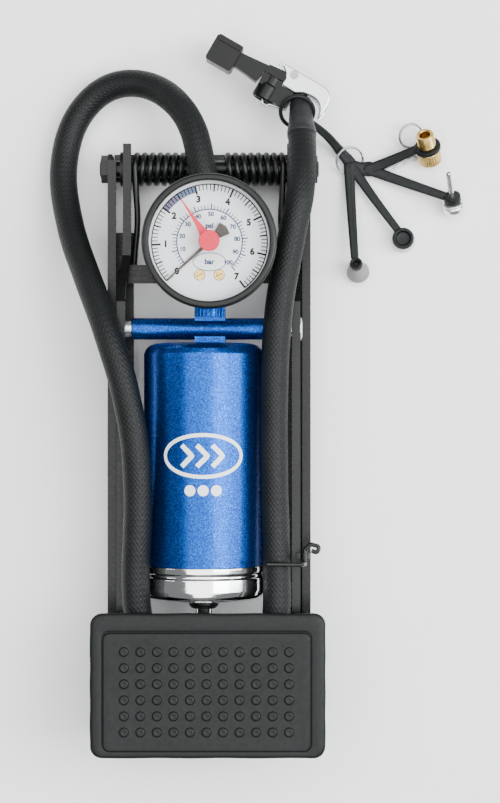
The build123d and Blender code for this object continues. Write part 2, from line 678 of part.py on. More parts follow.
SPINDLE_R, PLATE_LOW_Z, PLATE_HIGH_Z, MOVEMENT_T = 0.8, 50.0, DIAL_Z - 2.6, 1.2
with BuildPart() as movement:
    for z0 in (PLATE_LOW_Z, PLATE_HIGH_Z):
        with BuildSketch(gauge_plane.offset(z0)):
            with Locations((0, -6.5)):
                RectangleRounded(14, 21, 3)
            Circle(SPINDLE_R + RUNNING, mode=Mode.SUBTRACT)
        extrude(amount=MOVEMENT_T)
    with BuildSketch(gauge_plane.offset(PLATE_LOW_Z + MOVEMENT_T)):
        with Locations((-5.5, -8), (5.5, -8), (0, 2.6)):
            Circle(1.2)
    extrude(amount=PLATE_HIGH_Z - PLATE_LOW_Z - MOVEMENT_T)
    with BuildSketch(gauge_plane.offset(CASE_BOTTOM + 1.4)):
        with Locations((0, -12)):
            Rectangle(8, 6)
    extrude(amount=PLATE_LOW_Z - CASE_BOTTOM - 1.4)
movement.part.label = "gauge_movement"
export_step(movement.part, "parts/gauge_movement.step")

# Bourdon tube: a flattened tube bent to three quarters of a circle around the movement.
BOURDON_R = 20.0
with BuildPart() as bourdon:
    with BuildLine(Plane.XY.offset(52.5)) as bend:
        CenterArc((GAUGE_X, GAUGE_Y), BOURDON_R, -75, 255)
    with BuildSketch(Plane(origin=bend.line @ 0, x_dir=(0, 0, 1), z_dir=bend.line % 0)):
        RectangleRounded(6.5, 2.4, 1.1)
    sweep(path=bend.line)
bourdon.part.label = "bourdon_tube"
export_step(bourdon.part, "parts/bourdon_tube.step")

with BuildPart() as spindle:
    with BuildSketch(gauge_plane.offset(49.0)):
        Circle(SPINDLE_R)
    extrude(amount=11.4)
    with BuildSketch(gauge_plane.offset(52.0)):
        Circle(1.3)
    extrude(amount=1.6)
spindle.part.label = "gauge_spindle"
export_step(spindle.part, "parts/gauge_spindle.step")

# The needle rests at zero, and the marker points at 2.5 bar.
ZERO_ANGLE, MARKER_ANGLE = 222.0, 124.0
NEEDLE_Z, NEEDLE_LONG, NEEDLE_TAIL = 59.2, 25.2, 10.2
with BuildPart() as needle:
    with BuildSketch(gauge_plane.offset(NEEDLE_Z).rotated((0, 0, ZERO_ANGLE))):
        with BuildLine():
            Polyline(
                (NEEDLE_LONG, -0.25),
                (NEEDLE_LONG, 0.25),
                (0, 0.9),
                (-4, 1.6),
                (-NEEDLE_TAIL + 1, 3.4),
                (-NEEDLE_TAIL, 0),
                (-NEEDLE_TAIL + 1, -3.4),
                (-4, -1.6),
                (0, -0.9),
                close=True,
            )
        make_face()
        Circle(2.0)
        Circle(SPINDLE_R, mode=Mode.SUBTRACT)
    extrude(amount=0.6)
needle.part.label = "gauge_needle"
export_step(needle.part, "parts/gauge_needle.step")

MARKER_Z, MARKER_R = 62.4, 4.7
with BuildPart() as marker:
    with BuildSketch(gauge_plane.offset(MARKER_Z).rotated((0, 0, MARKER_ANGLE))):
        with BuildLine():
            Polyline((22.7, -0.25), (22.7, 0.25), (3, 2.8), (3, -2.8), close=True)
        make_face()
        Circle(3.2)
    extrude(amount=0.8)
    with BuildSketch(gauge_plane.offset(MARKER_Z)):
        Circle(MARKER_SHAFT_R)
    extrude(amount=LENS_Z + LENS_T + 0.5 - MARKER_Z)
    with BuildSketch(gauge_plane.offset(LENS_Z + LENS_T + 0.1)):
        Circle(MARKER_R)
    extrude(amount=1.6)
    fillet(marker.faces().sort_by(Axis.Z)[-1].edges(), 0.6)
marker.part.label = "target_marker"
export_step(marker.part, "parts/target_marker.step")

# ---- piston and rod ----
PISTON_Y, ROD_END_R = 30.0, 2.5
with BuildPart() as rod:
    add(
        turned(
            barrel_plane,
            [
                (0, EYE_Y + EYE_R - 1.2),
                (ROD_R, EYE_Y + EYE_R - 1.2),
                (ROD_R, PISTON_Y - 4),
                (ROD_END_R, PISTON_Y - 4),
                (ROD_END_R, PISTON_Y + 10),
                (0, PISTON_Y + 10),
            ],
        )
    )
    add(
        cylinder_x(EYE_R, BARREL_X - 10, BARREL_X + 10, EYE_Y, BARREL_Z),
        mode=Mode.SUBTRACT,
    )
rod.part.label = "piston_rod"
export_step(rod.part, "parts/piston_rod.step")

# The eye's hole is wider than the pin, because the frame's true motion is not quite the rod's:
# it takes up the difference as the lever opens.
with BuildPart() as eye:
    add(ring_x(EYE_R, EYE_HOLE_R, BARREL_X - EYE_HALF, BARREL_X + EYE_HALF, EYE_Y, BARREL_Z))
eye.part.label = "rod_eye"
export_step(eye.part, "parts/rod_eye.step")

with BuildPart() as piston:
    add(
        turned(
            barrel_plane,
            [
                (ROD_END_R, PISTON_Y - 4),
                (10, PISTON_Y - 4),
                (12, PISTON_Y),
                (BORE_R - 1.5, PISTON_Y),
                (BORE_R - 1.5, PISTON_Y + 3),
                (ROD_END_R, PISTON_Y + 3),
            ],
        )
    )
piston.part.label = "piston"
export_step(piston.part, "parts/piston.step")

with BuildPart() as cup:
    add(
        turned(
            barrel_plane,
            [
                (ROD_END_R, PISTON_Y + 3),
                (BORE_R - RUNNING, PISTON_Y + 3),
                (BORE_R - RUNNING, PISTON_Y + 9),
                (BORE_R - 1.6, PISTON_Y + 9),
                (BORE_R - 3.0, PISTON_Y + 5),
                (ROD_END_R, PISTON_Y + 5),
            ],
        )
    )
cup.part.label = "piston_cup"
export_step(cup.part, "parts/piston_cup.step")

with BuildPart() as piston_nut:
    with BuildSketch(Plane.XZ.offset(-PISTON_Y - 5)):
        with Locations((BARREL_X, BARREL_Z)):
            RegularPolygon(5.0, 6, major_radius=True)
            Circle(ROD_END_R, mode=Mode.SUBTRACT)
    extrude(amount=-4)
piston_nut.part.label = "piston_nut"
export_step(piston_nut.part, "parts/piston_nut.step")

# ---- hose ----
# From the outlet, under the gauge and over the springs, round a loop on the floor beside the hinge,
# up over the left rails, along the barrel, back under the pedal, and along the right rail to its end.
hose_route = [
    (0.6, 74.3, 34.0),
    (0.0, 101, 35.0),
    (-2.6, 128, 37.0),
    (-8.5, 152.5, 30.0),
    (-26.5, 169.5, 18.0),
    (-49.5, 169.5, 10.5),
    (-65.5, 151.5, 8.5),
    (-70.0, 125.5, 12.0),
    (-63.5, 96.0, 24.5),
    (-53.0, 71.0, 41.0),
    (-44.5, 49.0, 51.5),
    (-37.0, 25.0, 53.4),
    (-32.2, -2.0, 53.0),
    (-31.4, -32.0, 52.4),
    (-33.2, -60.0, 50.8),
    (-31.4, -83.0, 46.8),
    (-24.8, -100.5, 46.6),
    (-9.5, -111.5, 46.5),
    (10.0, -111.5, 46.5),
    (25.5, -100.5, 46.5),
    (31.6, -81.0, 46.8),
    (30.8, -47.0, 47.4),
    (29.7, -8.0, 48.0),
    (29.8, 28.0, 48.2),
    (31.6, 62.0, 48.4),
    (37.6, 94.0, 47.6),
    (43.5, 121.5, 46.5),
    (42.9, 142.0, 33.0),
]


def arc_radii(route):
    """Each corner's arc, as large as its two runs allow."""
    radii = []
    for before, corner, after in zip(route, route[1:], route[2:]):
        arrive = Vector(*corner) - Vector(*before)
        leave = Vector(*after) - Vector(*corner)
        half_turn = math.radians(arrive.get_angle(leave)) / 2
        radii.append(0.45 * min(arrive.length, leave.length) / math.tan(half_turn))
    return radii


hose_radii = arc_radii(hose_route)
print("hose arcs:", [round(r) for r in hose_radii])
with BuildPart() as hose:
    with BuildLine() as hose_line:
        FilletPolyline(*hose_route, radius=hose_radii)
    with BuildSketch(Plane(origin=hose_line.line @ 0, z_dir=hose_line.line % 0)):
        Circle(HOSE_R)
    sweep(path=hose_line.line)
hose_length = sum(edge.length for edge in hose_line.line.edges())
print("hose length:", round(hose_length, 1))
print("volume over section times length:", hose.part.volume / (math.pi * HOSE_R**2 * hose_length))
hose.part.label = "hose"
export_step(hose.part, "parts/hose.step")

# Moulded sleeve on the hose's end, tapering to the chuck.
SLEEVE_LONG, SLEEVE_WIDE, SLEEVE_NARROW = 20.0, 6.7, 5.0
hose_end = Vector(*hose_route[-1])
end_dir = (hose_end - Vector(*hose_route[-2])).normalized()
with BuildPart() as sleeve:
    add(
        turned(
            Plane(origin=hose_end, z_dir=end_dir),
            [
                (0, 0),
                (SLEEVE_WIDE, 0),
                (SLEEVE_WIDE, 3.5),
                (SLEEVE_WIDE - 0.6, 7),
                (SLEEVE_NARROW + 0.3, SLEEVE_LONG - 5),
                (SLEEVE_NARROW, SLEEVE_LONG),
                (0, SLEEVE_LONG),
            ],
        )
    )
sleeve.part.label = "hose_sleeve"
export_step(sleeve.part, "parts/hose_sleeve.step")

# ---- chuck ----
# Its own plane: X along the thumb lever, away from the hose, Y across, Z up, origin at the lever's pin.
CHUCK_X, CHUCK_Y, CHUCK_Z, CHUCK_TURN = 39.5, 171.9, 19.0, 150.0
turn = math.radians(CHUCK_TURN)
chuck_plane = Plane(
    origin=(CHUCK_X, CHUCK_Y, CHUCK_Z),
    x_dir=(math.cos(turn), math.sin(turn), 0),
    z_dir=(0, 0, -1),
)
MOUTH_X, MOUTH_Y = 7.5, -17.0
MOUTH_R, SEAL_R = 3.9, 4.6
CHEEK_IN, CHEEK_T = 5.0, 1.0
PIN_R, BODY_HALF = 1.5, 4.4
# The mouth points along the plane's -Y, towards a tyre valve.
mouth_plane = Plane(
    origin=chuck_plane.from_local_coords(Vector(MOUTH_X, MOUTH_Y, 0)),
    x_dir=chuck_plane.x_dir,
    z_dir=chuck_plane.y_dir,
)
with BuildPart() as chuck:
    add(
        turned(
            mouth_plane,
            [(0, 0), (4.9, 0), (5.5, 0.8), (5.5, 7), (4.8, 8), (4.8, 11.6), (0, 11.6)],
        )
    )
    with BuildSketch(chuck_plane.offset(-BODY_HALF)):
        with Locations((1.5, -11.5)):
            RectangleRounded(12, 2 * BODY_HALF, 1.5)
        with Locations((7.75, -8.2)):
            RectangleRounded(10.1, 5.6, 0.8)
    extrude(amount=2 * BODY_HALF)
    with BuildSketch(chuck_plane.offset(-2)):
        with BuildLine():
            Polyline((-8, -8.3), (-8, -4.5), (-1, -4.5), (-1, -12), (-4.2, -12), close=True)
        make_face()
    extrude(amount=6.4)
    neck_start = hose_end + end_dir * SLEEVE_LONG
    with BuildSketch(Plane(origin=neck_start, z_dir=end_dir)):
        Circle(3.6)
    extrude(amount=6)
    with BuildSketch(mouth_plane):
        Circle(MOUTH_R)
    extrude(amount=8, mode=Mode.SUBTRACT)
    with BuildSketch(mouth_plane.offset(3)):
        Circle(SEAL_R)
    extrude(amount=4, mode=Mode.SUBTRACT)
chuck.part.label = "chuck_body"
export_step(chuck.part, "parts/chuck_body.step")

with BuildPart() as seal:
    with BuildSketch(mouth_plane.offset(3)):
        Circle(SEAL_R)
        Circle(2.6, mode=Mode.SUBTRACT)
    extrude(amount=4)
seal.part.label = "chuck_seal"
export_step(seal.part, "parts/chuck_seal.step")

# Zinc-plated bracket: two cheeks joined by a folded back.
cheek = [
    (9.7, 2.4),
    (6.0, 0.4),
    (3.1, -2.2),
    (2.6, -6.6),
    (-4.3, -7.0),
    (-8.0, -5.0),
    (-11.6, -4.4),
    (-15.9, -5.3),
    (-18.5, -8.2),
    (-18.9, -11.0),
    (-20.0, -11.4),
    (-21.0, -8.6),
    (-20.6, -4.0),
    (-19.8, -1.0),
    (-17.6, 1.6),
    (-15.0, 2.4),
]
with BuildPart() as bracket:
    for z0 in (-CHEEK_IN - CHEEK_T, CHEEK_IN):
        with BuildSketch(chuck_plane.offset(z0)):
            with BuildLine():
                Polyline(*cheek, close=True)
            make_face()
            Circle(PIN_R, mode=Mode.SUBTRACT)
        extrude(amount=CHEEK_T)
    with BuildSketch(chuck_plane.offset(-CHEEK_IN)):
        with BuildLine():
            Polyline(
                (-5, 2.4), (-15, 2.4), (-17.6, 1.6), (-19.8, -1.0), (-20.6, -4.0), (-20.9, -7.6),
                (-19.9, -7.6), (-19.6, -4.0), (-19.0, -1.5), (-17.2, 0.7), (-15, 1.4), (-5, 1.4),
                close=True,
            )
        make_face()
    extrude(amount=2 * CHEEK_IN)
bracket.part.label = "chuck_bracket"
export_step(bracket.part, "parts/chuck_bracket.step")

with BuildPart() as chuck_pin:
    with BuildSketch(chuck_plane.offset(-CHEEK_IN - CHEEK_T - 0.6)):
        Circle(PIN_R)
    extrude(amount=2 * (CHEEK_IN + CHEEK_T + 0.6))
    for z0 in (-CHEEK_IN - CHEEK_T - 0.6, CHEEK_IN + CHEEK_T):
        with BuildSketch(chuck_plane.offset(z0)):
            Circle(2.0)
        extrude(amount=0.6)
chuck_pin.part.label = "chuck_pin"
export_step(chuck_pin.part, "parts/chuck_pin.step")

# Thumb lever: a cam on the pin, an arm, and a thumb pad with a raised rim.
with BuildPart() as thumb:
    with BuildSketch(chuck_plane.offset(-BODY_HALF)):
        Circle(2.4)
        with BuildLine():
            Polyline(
                (0, 2.4), (-2.4, 0), (-2.4, -3.4), (3, -5.0), (12.4, -5.0), (12.4, -1.2), (4.4, -0.4),
                close=True,
            )
        make_face()
        Circle(PIN_R + RUNNING, mode=Mode.SUBTRACT)
    extrude(amount=2 * BODY_HALF)
    with BuildSketch(chuck_plane.offset(-3.4)):
        with BuildLine():
            Polyline(
                (12, -1.6), (12, -4.9), (13.0, -5.2), (14.2, -11.2), (27.5, -9.8), (27.5, -3.0),
                close=True,
            )
        make_face()
    extrude(amount=6.8)
    with BuildSketch(chuck_plane.offset(-5.5)):
        with Locations((33.4, -7.2)):
            RectangleRounded(13.4, 13.2, 1.5)
    extrude(amount=11)
    with BuildSketch(chuck_plane.offset(-6.5)):
        with Locations((33.0, -1.8)):
            RectangleRounded(13.0, 2.6, 1.0)
    extrude(amount=13)
thumb.part.label = "chuck_lever"
export_step(thumb.part, "parts/chuck_lever.step")

# ---- adaptors on their strap ----
def upright(foot, lean):
    """A plane at an adaptor's foot, its Z along the adaptor."""
    return Plane(origin=foot, x_dir=(1, 0, 0), z_dir=Vector(*lean).normalized())


brass_plane = upright((103.1, 133.4, 3.9), (-0.13, 0.65, 0.75))
needle_plane = upright((115.7, 110.3, 3.6), (-0.12, 0.75, 0.65))
cup_plane = upright((92.0, 96.6, 0.5), (-0.09, 0.08, 1.0))
cone_plane = upright((70.5, 81.1, 0.7), (-0.08, 0.2, 1.0))

with BuildPart() as brass:
    add(
        turned(
            brass_plane,
            [
                (2.6, 0), (5.1, 0), (5.4, 0.6), (5.4, 6.4), (5.1, 7), (3.9, 7), (3.9, 10),
                (4.3, 10.4), (4.3, 16), (3.8, 16.8), (2.6, 16.8),
            ],
        )
    )
brass.part.label = "brass_adaptor"
export_step(brass.part, "parts/brass_adaptor.step")

with BuildPart() as ball_needle:
    add(
        turned(
            needle_plane,
            [
                (0, 0), (3.9, 0), (4.2, 0.5), (4.2, 5), (3.4, 6), (3.4, 10.5), (1.3, 11.6),
                (1.1, 13), (1.1, 22.4), (0.6, 23.4), (0, 23.4),
            ],
        )
    )
ball_needle.part.label = "ball_needle"
export_step(ball_needle.part, "parts/ball_needle.step")

with BuildPart() as cup_adaptor:
    add(
        turned(
            cup_plane,
            [(0, 0), (5.2, 0), (5.7, 0.6), (5.7, 4.6), (5.0, 5.4), (2.0, 5.4), (2.0, 9), (0, 9)],
        )
    )
cup_adaptor.part.label = "cup_adaptor"
export_step(cup_adaptor.part, "parts/cup_adaptor.step")

with BuildPart() as cone_adaptor:
    add(turned(cone_plane, [(1.0, 0), (4.9, 0), (5.3, 0.6), (5.3, 1.8), (4.4, 3), (1.9, 15), (1.0, 15)]))
cone_adaptor.part.label = "cone_adaptor"
export_step(cone_adaptor.part, "parts/cone_adaptor.step")


def collar(plane, height, radius, bore, thick):
    """A flat ring round an adaptor."""
    return turned(
        plane, [(bore, height), (radius, height), (radius, height + thick), (bore, height + thick)]
    )


STRAP_W, STRAP_T, HUB_Z = 3.4, 1.8, 2.6
LOOP_R, LOOP_THICK = 8.2, 0.95
loop_plane = Plane(origin=(41.6, 155.4, 23.7), x_dir=(1, 0, 0), z_dir=(0, -0.5, 0.866))
hub_a, hub_b = (69.5, 130.6, HUB_Z), (78.0, 129.7, HUB_Z)
strap_runs = [
    ((47.9, 150.6, 21.0), (56.5, 145.0, 9.0)),
    ((56.5, 145.0, 9.0), (63.0, 137.5, HUB_Z)),
    ((63.0, 137.5, HUB_Z), hub_a),
    (hub_a, hub_b),
    (hub_b, (96.2, 137.4, 9.8)),
    (hub_b, (110.9, 117.3, 8.8)),
    (hub_a, (89.3, 100.6, 7.2)),
    (hub_a, (69.7, 86.2, 10.8)),
]
with BuildPart() as strap:
    loop_start = loop_plane.from_local_coords(Vector(LOOP_R, 0, 0))
    with BuildSketch(Plane(origin=loop_start, z_dir=loop_plane.y_dir)):
        Circle(LOOP_THICK)
    revolve(axis=Axis(loop_plane.origin, loop_plane.z_dir))
    for start, end in strap_runs:
        add(bar(start, end, STRAP_W, STRAP_T))
    for x, y, z in (hub_a, hub_b, (63.0, 137.5, HUB_Z), (56.5, 145.0, 9.0)):
        with BuildSketch(Plane.XY.offset(z - STRAP_T / 2)):
            with Locations((x, y)):
                Circle(STRAP_W * 0.62)
        extrude(amount=STRAP_T)
    add(collar(brass_plane, 7.3, 6.5, 3.95, 2.2))
    add(collar(needle_plane, 7.0, 4.0, 3.45, 2.6))
    add(collar(cup_plane, 5.7, 5.2, 2.05, 3.0))
    add(collar(cone_plane, 9.6, 3.4, 3.05, 2.0))
strap.part.label = "adaptor_strap"
export_step(strap.part, "parts/adaptor_strap.step")

with BuildPart() as split_rings:
    for centre, radius, tilt in (((66.2, 134.4, 3.6), 6.5, 28), ((95.4, 145.0, 4.2), 5.3, 30)):
        ring = Torus(radius, 0.5, rotation=(tilt, 0, 35), mode=Mode.PRIVATE)
        add(ring.moved(Location(centre)))
split_rings.part.label = "split_rings"
export_step(split_rings.part, "parts/split_rings.step")

# Short chain of flat links lying under the strap.
LINK_LONG, LINK_WIDE, LINK_T = 5.4, 2.8, 0.9
with BuildPart() as chain:
    for number in range(4):
        with BuildSketch(Plane.XY.offset(0.1)):
            with Locations(Location((81.0 + 5.0 * number, 128.6 + 2.2 * number, 0), (0, 0, 24))):
                SlotOverall(LINK_LONG, LINK_WIDE)
                SlotOverall(LINK_LONG - 1.6, LINK_WIDE - 1.6, mode=Mode.SUBTRACT)
        extrude(amount=LINK_T)
chain.part.label = "clip_chain"
export_step(chain.part, "parts/clip_chain.step")
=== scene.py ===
import json
import math

import bmesh
import bpy
import numpy as np
from mathutils import Matrix, Vector


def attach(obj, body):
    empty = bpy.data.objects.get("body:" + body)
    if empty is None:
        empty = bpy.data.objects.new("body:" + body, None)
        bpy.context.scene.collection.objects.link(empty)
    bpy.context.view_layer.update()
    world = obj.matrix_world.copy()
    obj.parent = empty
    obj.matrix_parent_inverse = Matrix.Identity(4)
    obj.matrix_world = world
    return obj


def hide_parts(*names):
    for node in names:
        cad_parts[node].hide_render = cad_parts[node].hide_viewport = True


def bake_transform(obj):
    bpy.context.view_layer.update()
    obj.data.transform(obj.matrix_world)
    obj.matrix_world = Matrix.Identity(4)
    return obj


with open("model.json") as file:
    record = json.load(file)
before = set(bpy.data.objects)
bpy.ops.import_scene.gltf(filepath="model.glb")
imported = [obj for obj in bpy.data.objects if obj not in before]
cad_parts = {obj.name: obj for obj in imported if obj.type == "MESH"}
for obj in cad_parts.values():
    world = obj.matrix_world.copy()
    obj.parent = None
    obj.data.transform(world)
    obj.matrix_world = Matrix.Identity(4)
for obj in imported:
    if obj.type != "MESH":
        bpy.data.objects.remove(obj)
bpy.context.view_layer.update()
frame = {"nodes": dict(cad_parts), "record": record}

MM = 0.001

# ---- camera: straight above the pump, as far as the picture was taken from ----
CAMERA_AT = Vector((19.0, 20.2, 1013.0)) * MM
CAMERA_LENS = 95.4  # on a 36 mm sensor, along the picture's long side
camera_data = bpy.data.cameras.new("camera")
camera_data.lens = CAMERA_LENS
camera_data.sensor_width = 36.0
camera_data.clip_start = 0.01
camera = bpy.data.objects.new("camera", camera_data)
camera.location = CAMERA_AT
bpy.context.scene.collection.objects.link(camera)
bpy.context.scene.camera = camera


# ---- mesh helpers ----
def add_mesh(name, verts, faces, smooth=True, solid=True):
    """A new mesh object from vertices in metres."""
    mesh = bpy.data.meshes.new(name)
    mesh.from_pydata([tuple(v) for v in verts], [], [tuple(f) for f in faces])
    mesh.validate()
    if solid:
        whole = bmesh.new()
        whole.from_mesh(mesh)
        bmesh.ops.recalc_face_normals(whole, faces=whole.faces)
        whole.to_mesh(mesh)
        whole.free()
    mesh.update()
    if smooth:
        mesh.polygons.foreach_set("use_smooth", [True] * len(mesh.polygons))
    piece = bpy.data.objects.new(name, mesh)
    bpy.context.scene.collection.objects.link(piece)
    return piece


def finish_piece(piece, material, body, slot, *nodes):
    """Gives a piece its material and body, and hides the CAD nodes that it stands for; its slot is not used.
    """
    if material is not None:
        piece.data.materials.clear()
        piece.data.materials.append(material)
    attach(piece, body)
    if nodes:
        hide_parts(*nodes)
    return piece


def skin(rows, size, ends=True):
    """Faces through rows of points, each row a closed ring, with a flat face at each end if asked."""
    faces = [(i * size + k, i * size + (k + 1) % size, (i + 1) * size + (k + 1) % size, (i + 1) * size + k)
             for i in range(rows - 1) for k in range(size)]
    if ends:
        faces += [tuple(range(size)), tuple(range((rows - 1) * size, rows * size))]
    return faces


def ellipse(x, y, wide, high, count):
    """Points round an ellipse, from its right-hand side."""
    return [(x + wide * math.cos(a), y + high * math.sin(a))
            for a in np.linspace(0, 2 * math.pi, count, endpoint=False)]


def axes_along(direction):
    """Two unit vectors square to a direction."""
    direction = Vector(direction).normalized()
    side = Vector((0, 0, 1)).cross(direction)
    if side.length < 1e-4:
        side = Vector((1, 0, 0))
    side.normalize()
    return side, direction.cross(side)


def rounded(profile, radius):
    """A (radius, height) outline with its inner corners rounded by up to a radius, in mm."""
    steps = 3
    out = [profile[0]]
    for before, corner, after in zip(profile, profile[1:], profile[2:]):
        if corner[0] < 1e-6:
            out.append(corner)
            continue
        a, c, b = Vector(before), Vector(corner), Vector(after)
        cut = min(radius, (a - c).length * 0.45, (b - c).length * 0.45)
        start, end = c + (a - c).normalized() * cut, c + (b - c).normalized() * cut
        for k in range(steps + 1):
            t = k / steps
            out.append(tuple((1 - t) ** 2 * start + 2 * t * (1 - t) * c + t * t * end))
    out.append(profile[-1])
    return out


def lathe(name, origin, direction, profile, segments=96, soften=0.4, wave=None):
    """A turned piece. The profile holds (radius, height) in mm; wave(angle, height) scales a radius."""
    origin = Vector(origin) * MM
    axis = Vector(direction).normalized()
    side, up = axes_along(axis)
    line = rounded(profile, soften)
    verts, faces, rows = [], [], []
    for r, h in line:
        if r < 1e-6:
            rows.append([len(verts)])
            verts.append(origin + axis * h * MM)
            continue
        row = []
        for k in range(segments):
            a = 2 * math.pi * k / segments
            scale = wave(a, h) if wave else 1.0
            row.append(len(verts))
            verts.append(origin + axis * h * MM + (side * math.cos(a) + up * math.sin(a)) * r * scale * MM)
        rows.append(row)
    for low, high in zip(rows, rows[1:]):
        for k in range(segments):
            n = (k + 1) % segments
            if len(low) == 1 and len(high) == 1:
                continue
            if len(low) == 1:
                faces.append((low[0], high[n], high[k]))
            elif len(high) == 1:
                faces.append((low[k], low[n], high[0]))
            else:
                faces.append((low[k], low[n], high[n], high[k]))
    piece = add_mesh(name, verts, faces)
    even = piece.modifiers.new("even normals", "WEIGHTED_NORMAL")
    even.keep_sharp = True
    return piece


def smooth_path(points):
    """Points read from the NURBS line through given points, in metres."""
    curve = bpy.data.curves.new("route", "CURVE")
    curve.dimensions = "3D"
    curve.resolution_u = 10
    spline = curve.splines.new("NURBS")
    spline.points.add(len(points) - 1)
    for point, place in zip(spline.points, points):
        point.co = (*place, 1.0)
    spline.order_u = 3
    spline.use_endpoint_u = True
    line = bpy.data.objects.new("route", curve)
    mesh = bpy.data.meshes.new_from_object(line)
    path = [v.co.copy() for v in mesh.vertices]
    bpy.data.objects.remove(line)
    bpy.data.curves.remove(curve)
    bpy.data.meshes.remove(mesh)
    return path


def resample(path, step):
    """Points evenly spaced along a path, and how far along each is."""
    pts = np.array([tuple(p) for p in path])
    along = np.concatenate([[0], np.cumsum(np.linalg.norm(np.diff(pts, axis=0), axis=1))])
    count = max(2, int(round(along[-1] / step)) + 1)
    want = np.linspace(0, along[-1], count)
    return [Vector([np.interp(s, along, pts[:, k]) for k in range(3)]) for s in want], want


def tube(name, path, radius, step=1.0 * MM, segments=32, wave=None, capped=True):
    """A tube along a path. wave(along, angle) adds to its radius. It carries a UV map in metres."""
    points, along = resample(path, step)
    last = len(points) - 1
    tangent = (points[1] - points[0]).normalized()
    side = axes_along(tangent)[0]
    verts = []
    for i, here in enumerate(points):
        way = (points[min(i + 1, last)] - points[max(i - 1, 0)]).normalized()
        side = (tangent.rotation_difference(way) @ side).normalized()
        side = (side - way * side.dot(way)).normalized()
        up = way.cross(side)
        tangent = way
        for k in range(segments):
            a = 2 * math.pi * k / segments
            r = radius + (wave(along[i], a) if wave else 0.0)
            verts.append(here + (side * math.cos(a) + up * math.sin(a)) * r)
    piece = add_mesh(name, verts, skin(len(points), segments, capped))
    layer = piece.data.uv_layers.new(name="UVMap")
    for face in piece.data.polygons:
        corners = list(face.loop_indices)
        ids = [piece.data.loops[c].vertex_index for c in corners]
        places = [v % segments for v in ids]
        wraps = max(places) - min(places) > segments / 2
        for corner, v, k in zip(corners, ids, places):
            turn = k + segments if wraps and k == 0 else k
            layer.data[corner].uv = (along[v // segments], turn / segments * 2 * math.pi * radius)
    return piece


def bevelled(piece, width):
    """Softens a piece's edges, for the light to catch."""
    mod = piece.modifiers.new("edges", "BEVEL")
    mod.width = width * MM
    mod.segments = 2
    mod.limit_method = "ANGLE"
    mod.angle_limit = math.radians(35)
    mod.harden_normals = False


def loft(name, rings):
    """A closed skin through rings of equal length, with a flat face on the first and the last."""
    return add_mesh(name, [p for ring in rings for p in ring], skin(len(rings), len(rings[0])))


def merged(name, meshes, smooth=True, solid=True):
    """One object out of several (verts, faces) lists."""
    verts, faces = [], []
    for more_verts, more_faces in meshes:
        start = len(verts)
        verts.extend(more_verts)
        faces.extend(tuple(start + i for i in f) for f in more_faces)
    return add_mesh(name, verts, faces, smooth, solid)


def plate(outline, place, low, high):
    """(verts, faces) of a flat plate; place(x, y, z) puts a point of it in metres."""
    return [place(x, y, z) for z in (low, high) for x, y in outline], skin(2, len(outline))


# ---- materials ----
def material(name):
    """An empty node material: (material, nodes, links, shader)."""
    mat = bpy.data.materials.new(name)
    mat.use_nodes = True
    nodes, links = mat.node_tree.nodes, mat.node_tree.links
    return mat, nodes, links, nodes["Principled BSDF"]


def noise(nodes, links, scale, detail=3.0, stretch=None):
    """A noise texture in object space, scale per metre."""
    place = nodes.new("ShaderNodeTexCoord")
    tex = nodes.new("ShaderNodeTexNoise")
    tex.inputs["Scale"].default_value = scale
    tex.inputs["Detail"].default_value = detail
    out = place.outputs["Object"]
    if stretch:
        mapping = nodes.new("ShaderNodeMapping")
        mapping.inputs["Scale"].default_value = stretch
        links.new(out, mapping.inputs["Vector"])
        out = mapping.outputs["Vector"]
    links.new(out, tex.inputs["Vector"])
    return tex


def ramp(nodes, links, source, stops):
    """A colour ramp: stops are (place, colour)."""
    node = nodes.new("ShaderNodeValToRGB")
    while len(node.color_ramp.elements) < len(stops):
        node.color_ramp.elements.new(0.5)
    for element, (place, colour) in zip(node.color_ramp.elements, stops):
        element.position = place
        element.color = (*colour[:3], 1.0)
    links.new(source, node.inputs["Fac"])
    return node


def spread(nodes, links, source, low, high, at=(0.3, 0.7)):
    """Maps a texture's value onto low to high."""
    node = nodes.new("ShaderNodeMapRange")
    node.inputs["From Min"].default_value = at[0]
    node.inputs["From Max"].default_value = at[1]
    node.inputs["To Min"].default_value = low
    node.inputs["To Max"].default_value = high
    links.new(source, node.inputs["Value"])
    return node


def gloss(nodes, links, source, shader, low, high, at=(0.3, 0.7)):
    """Uneven roughness, from low to high with a texture's value."""
    links.new(spread(nodes, links, source, low, high, at).outputs["Result"], shader.inputs["Roughness"])


def bump(nodes, links, height, shader, strength, distance, before=None):
    """A bump into the shader's normal, on top of an earlier one if given."""
    node = nodes.new("ShaderNodeBump")
    node.inputs["Strength"].default_value = strength
    node.inputs["Distance"].default_value = distance
    links.new(height, node.inputs["Height"])
    if before is not None:
        links.new(before.outputs["Normal"], node.inputs["Normal"])
    links.new(node.outputs["Normal"], shader.inputs["Normal"])
    return node


def surface(name, colour, rough, metal=0.0, tint=0.15, grain=900, grain_depth=0.02, blotch=60, spec=0.5,
            rough_spread=0.1):
    """A general finish: blotchy colour, uneven gloss and a fine grain."""
    mat, nodes, links, shader = material(name)
    big = noise(nodes, links, blotch, 4.0)
    dark = [c * (1 - tint) for c in colour]
    light = [min(1.0, c * (1 + tint) + 0.002 * tint) for c in colour]
    links.new(ramp(nodes, links, big.outputs["Fac"], [(0.3, dark), (0.7, light)]).outputs["Color"],
              shader.inputs["Base Color"])
    fine = noise(nodes, links, grain, 2.0)
    gloss(nodes, links, fine.outputs["Fac"], shader, max(0.02, rough - rough_spread),
          min(1.0, rough + rough_spread))
    bump(nodes, links, fine.outputs["Fac"], shader, 0.12 if metal > 0.5 else 0.35, grain_depth * MM)
    shader.inputs["Metallic"].default_value = metal
    shader.inputs["Specular IOR Level"].default_value = spec
    return mat


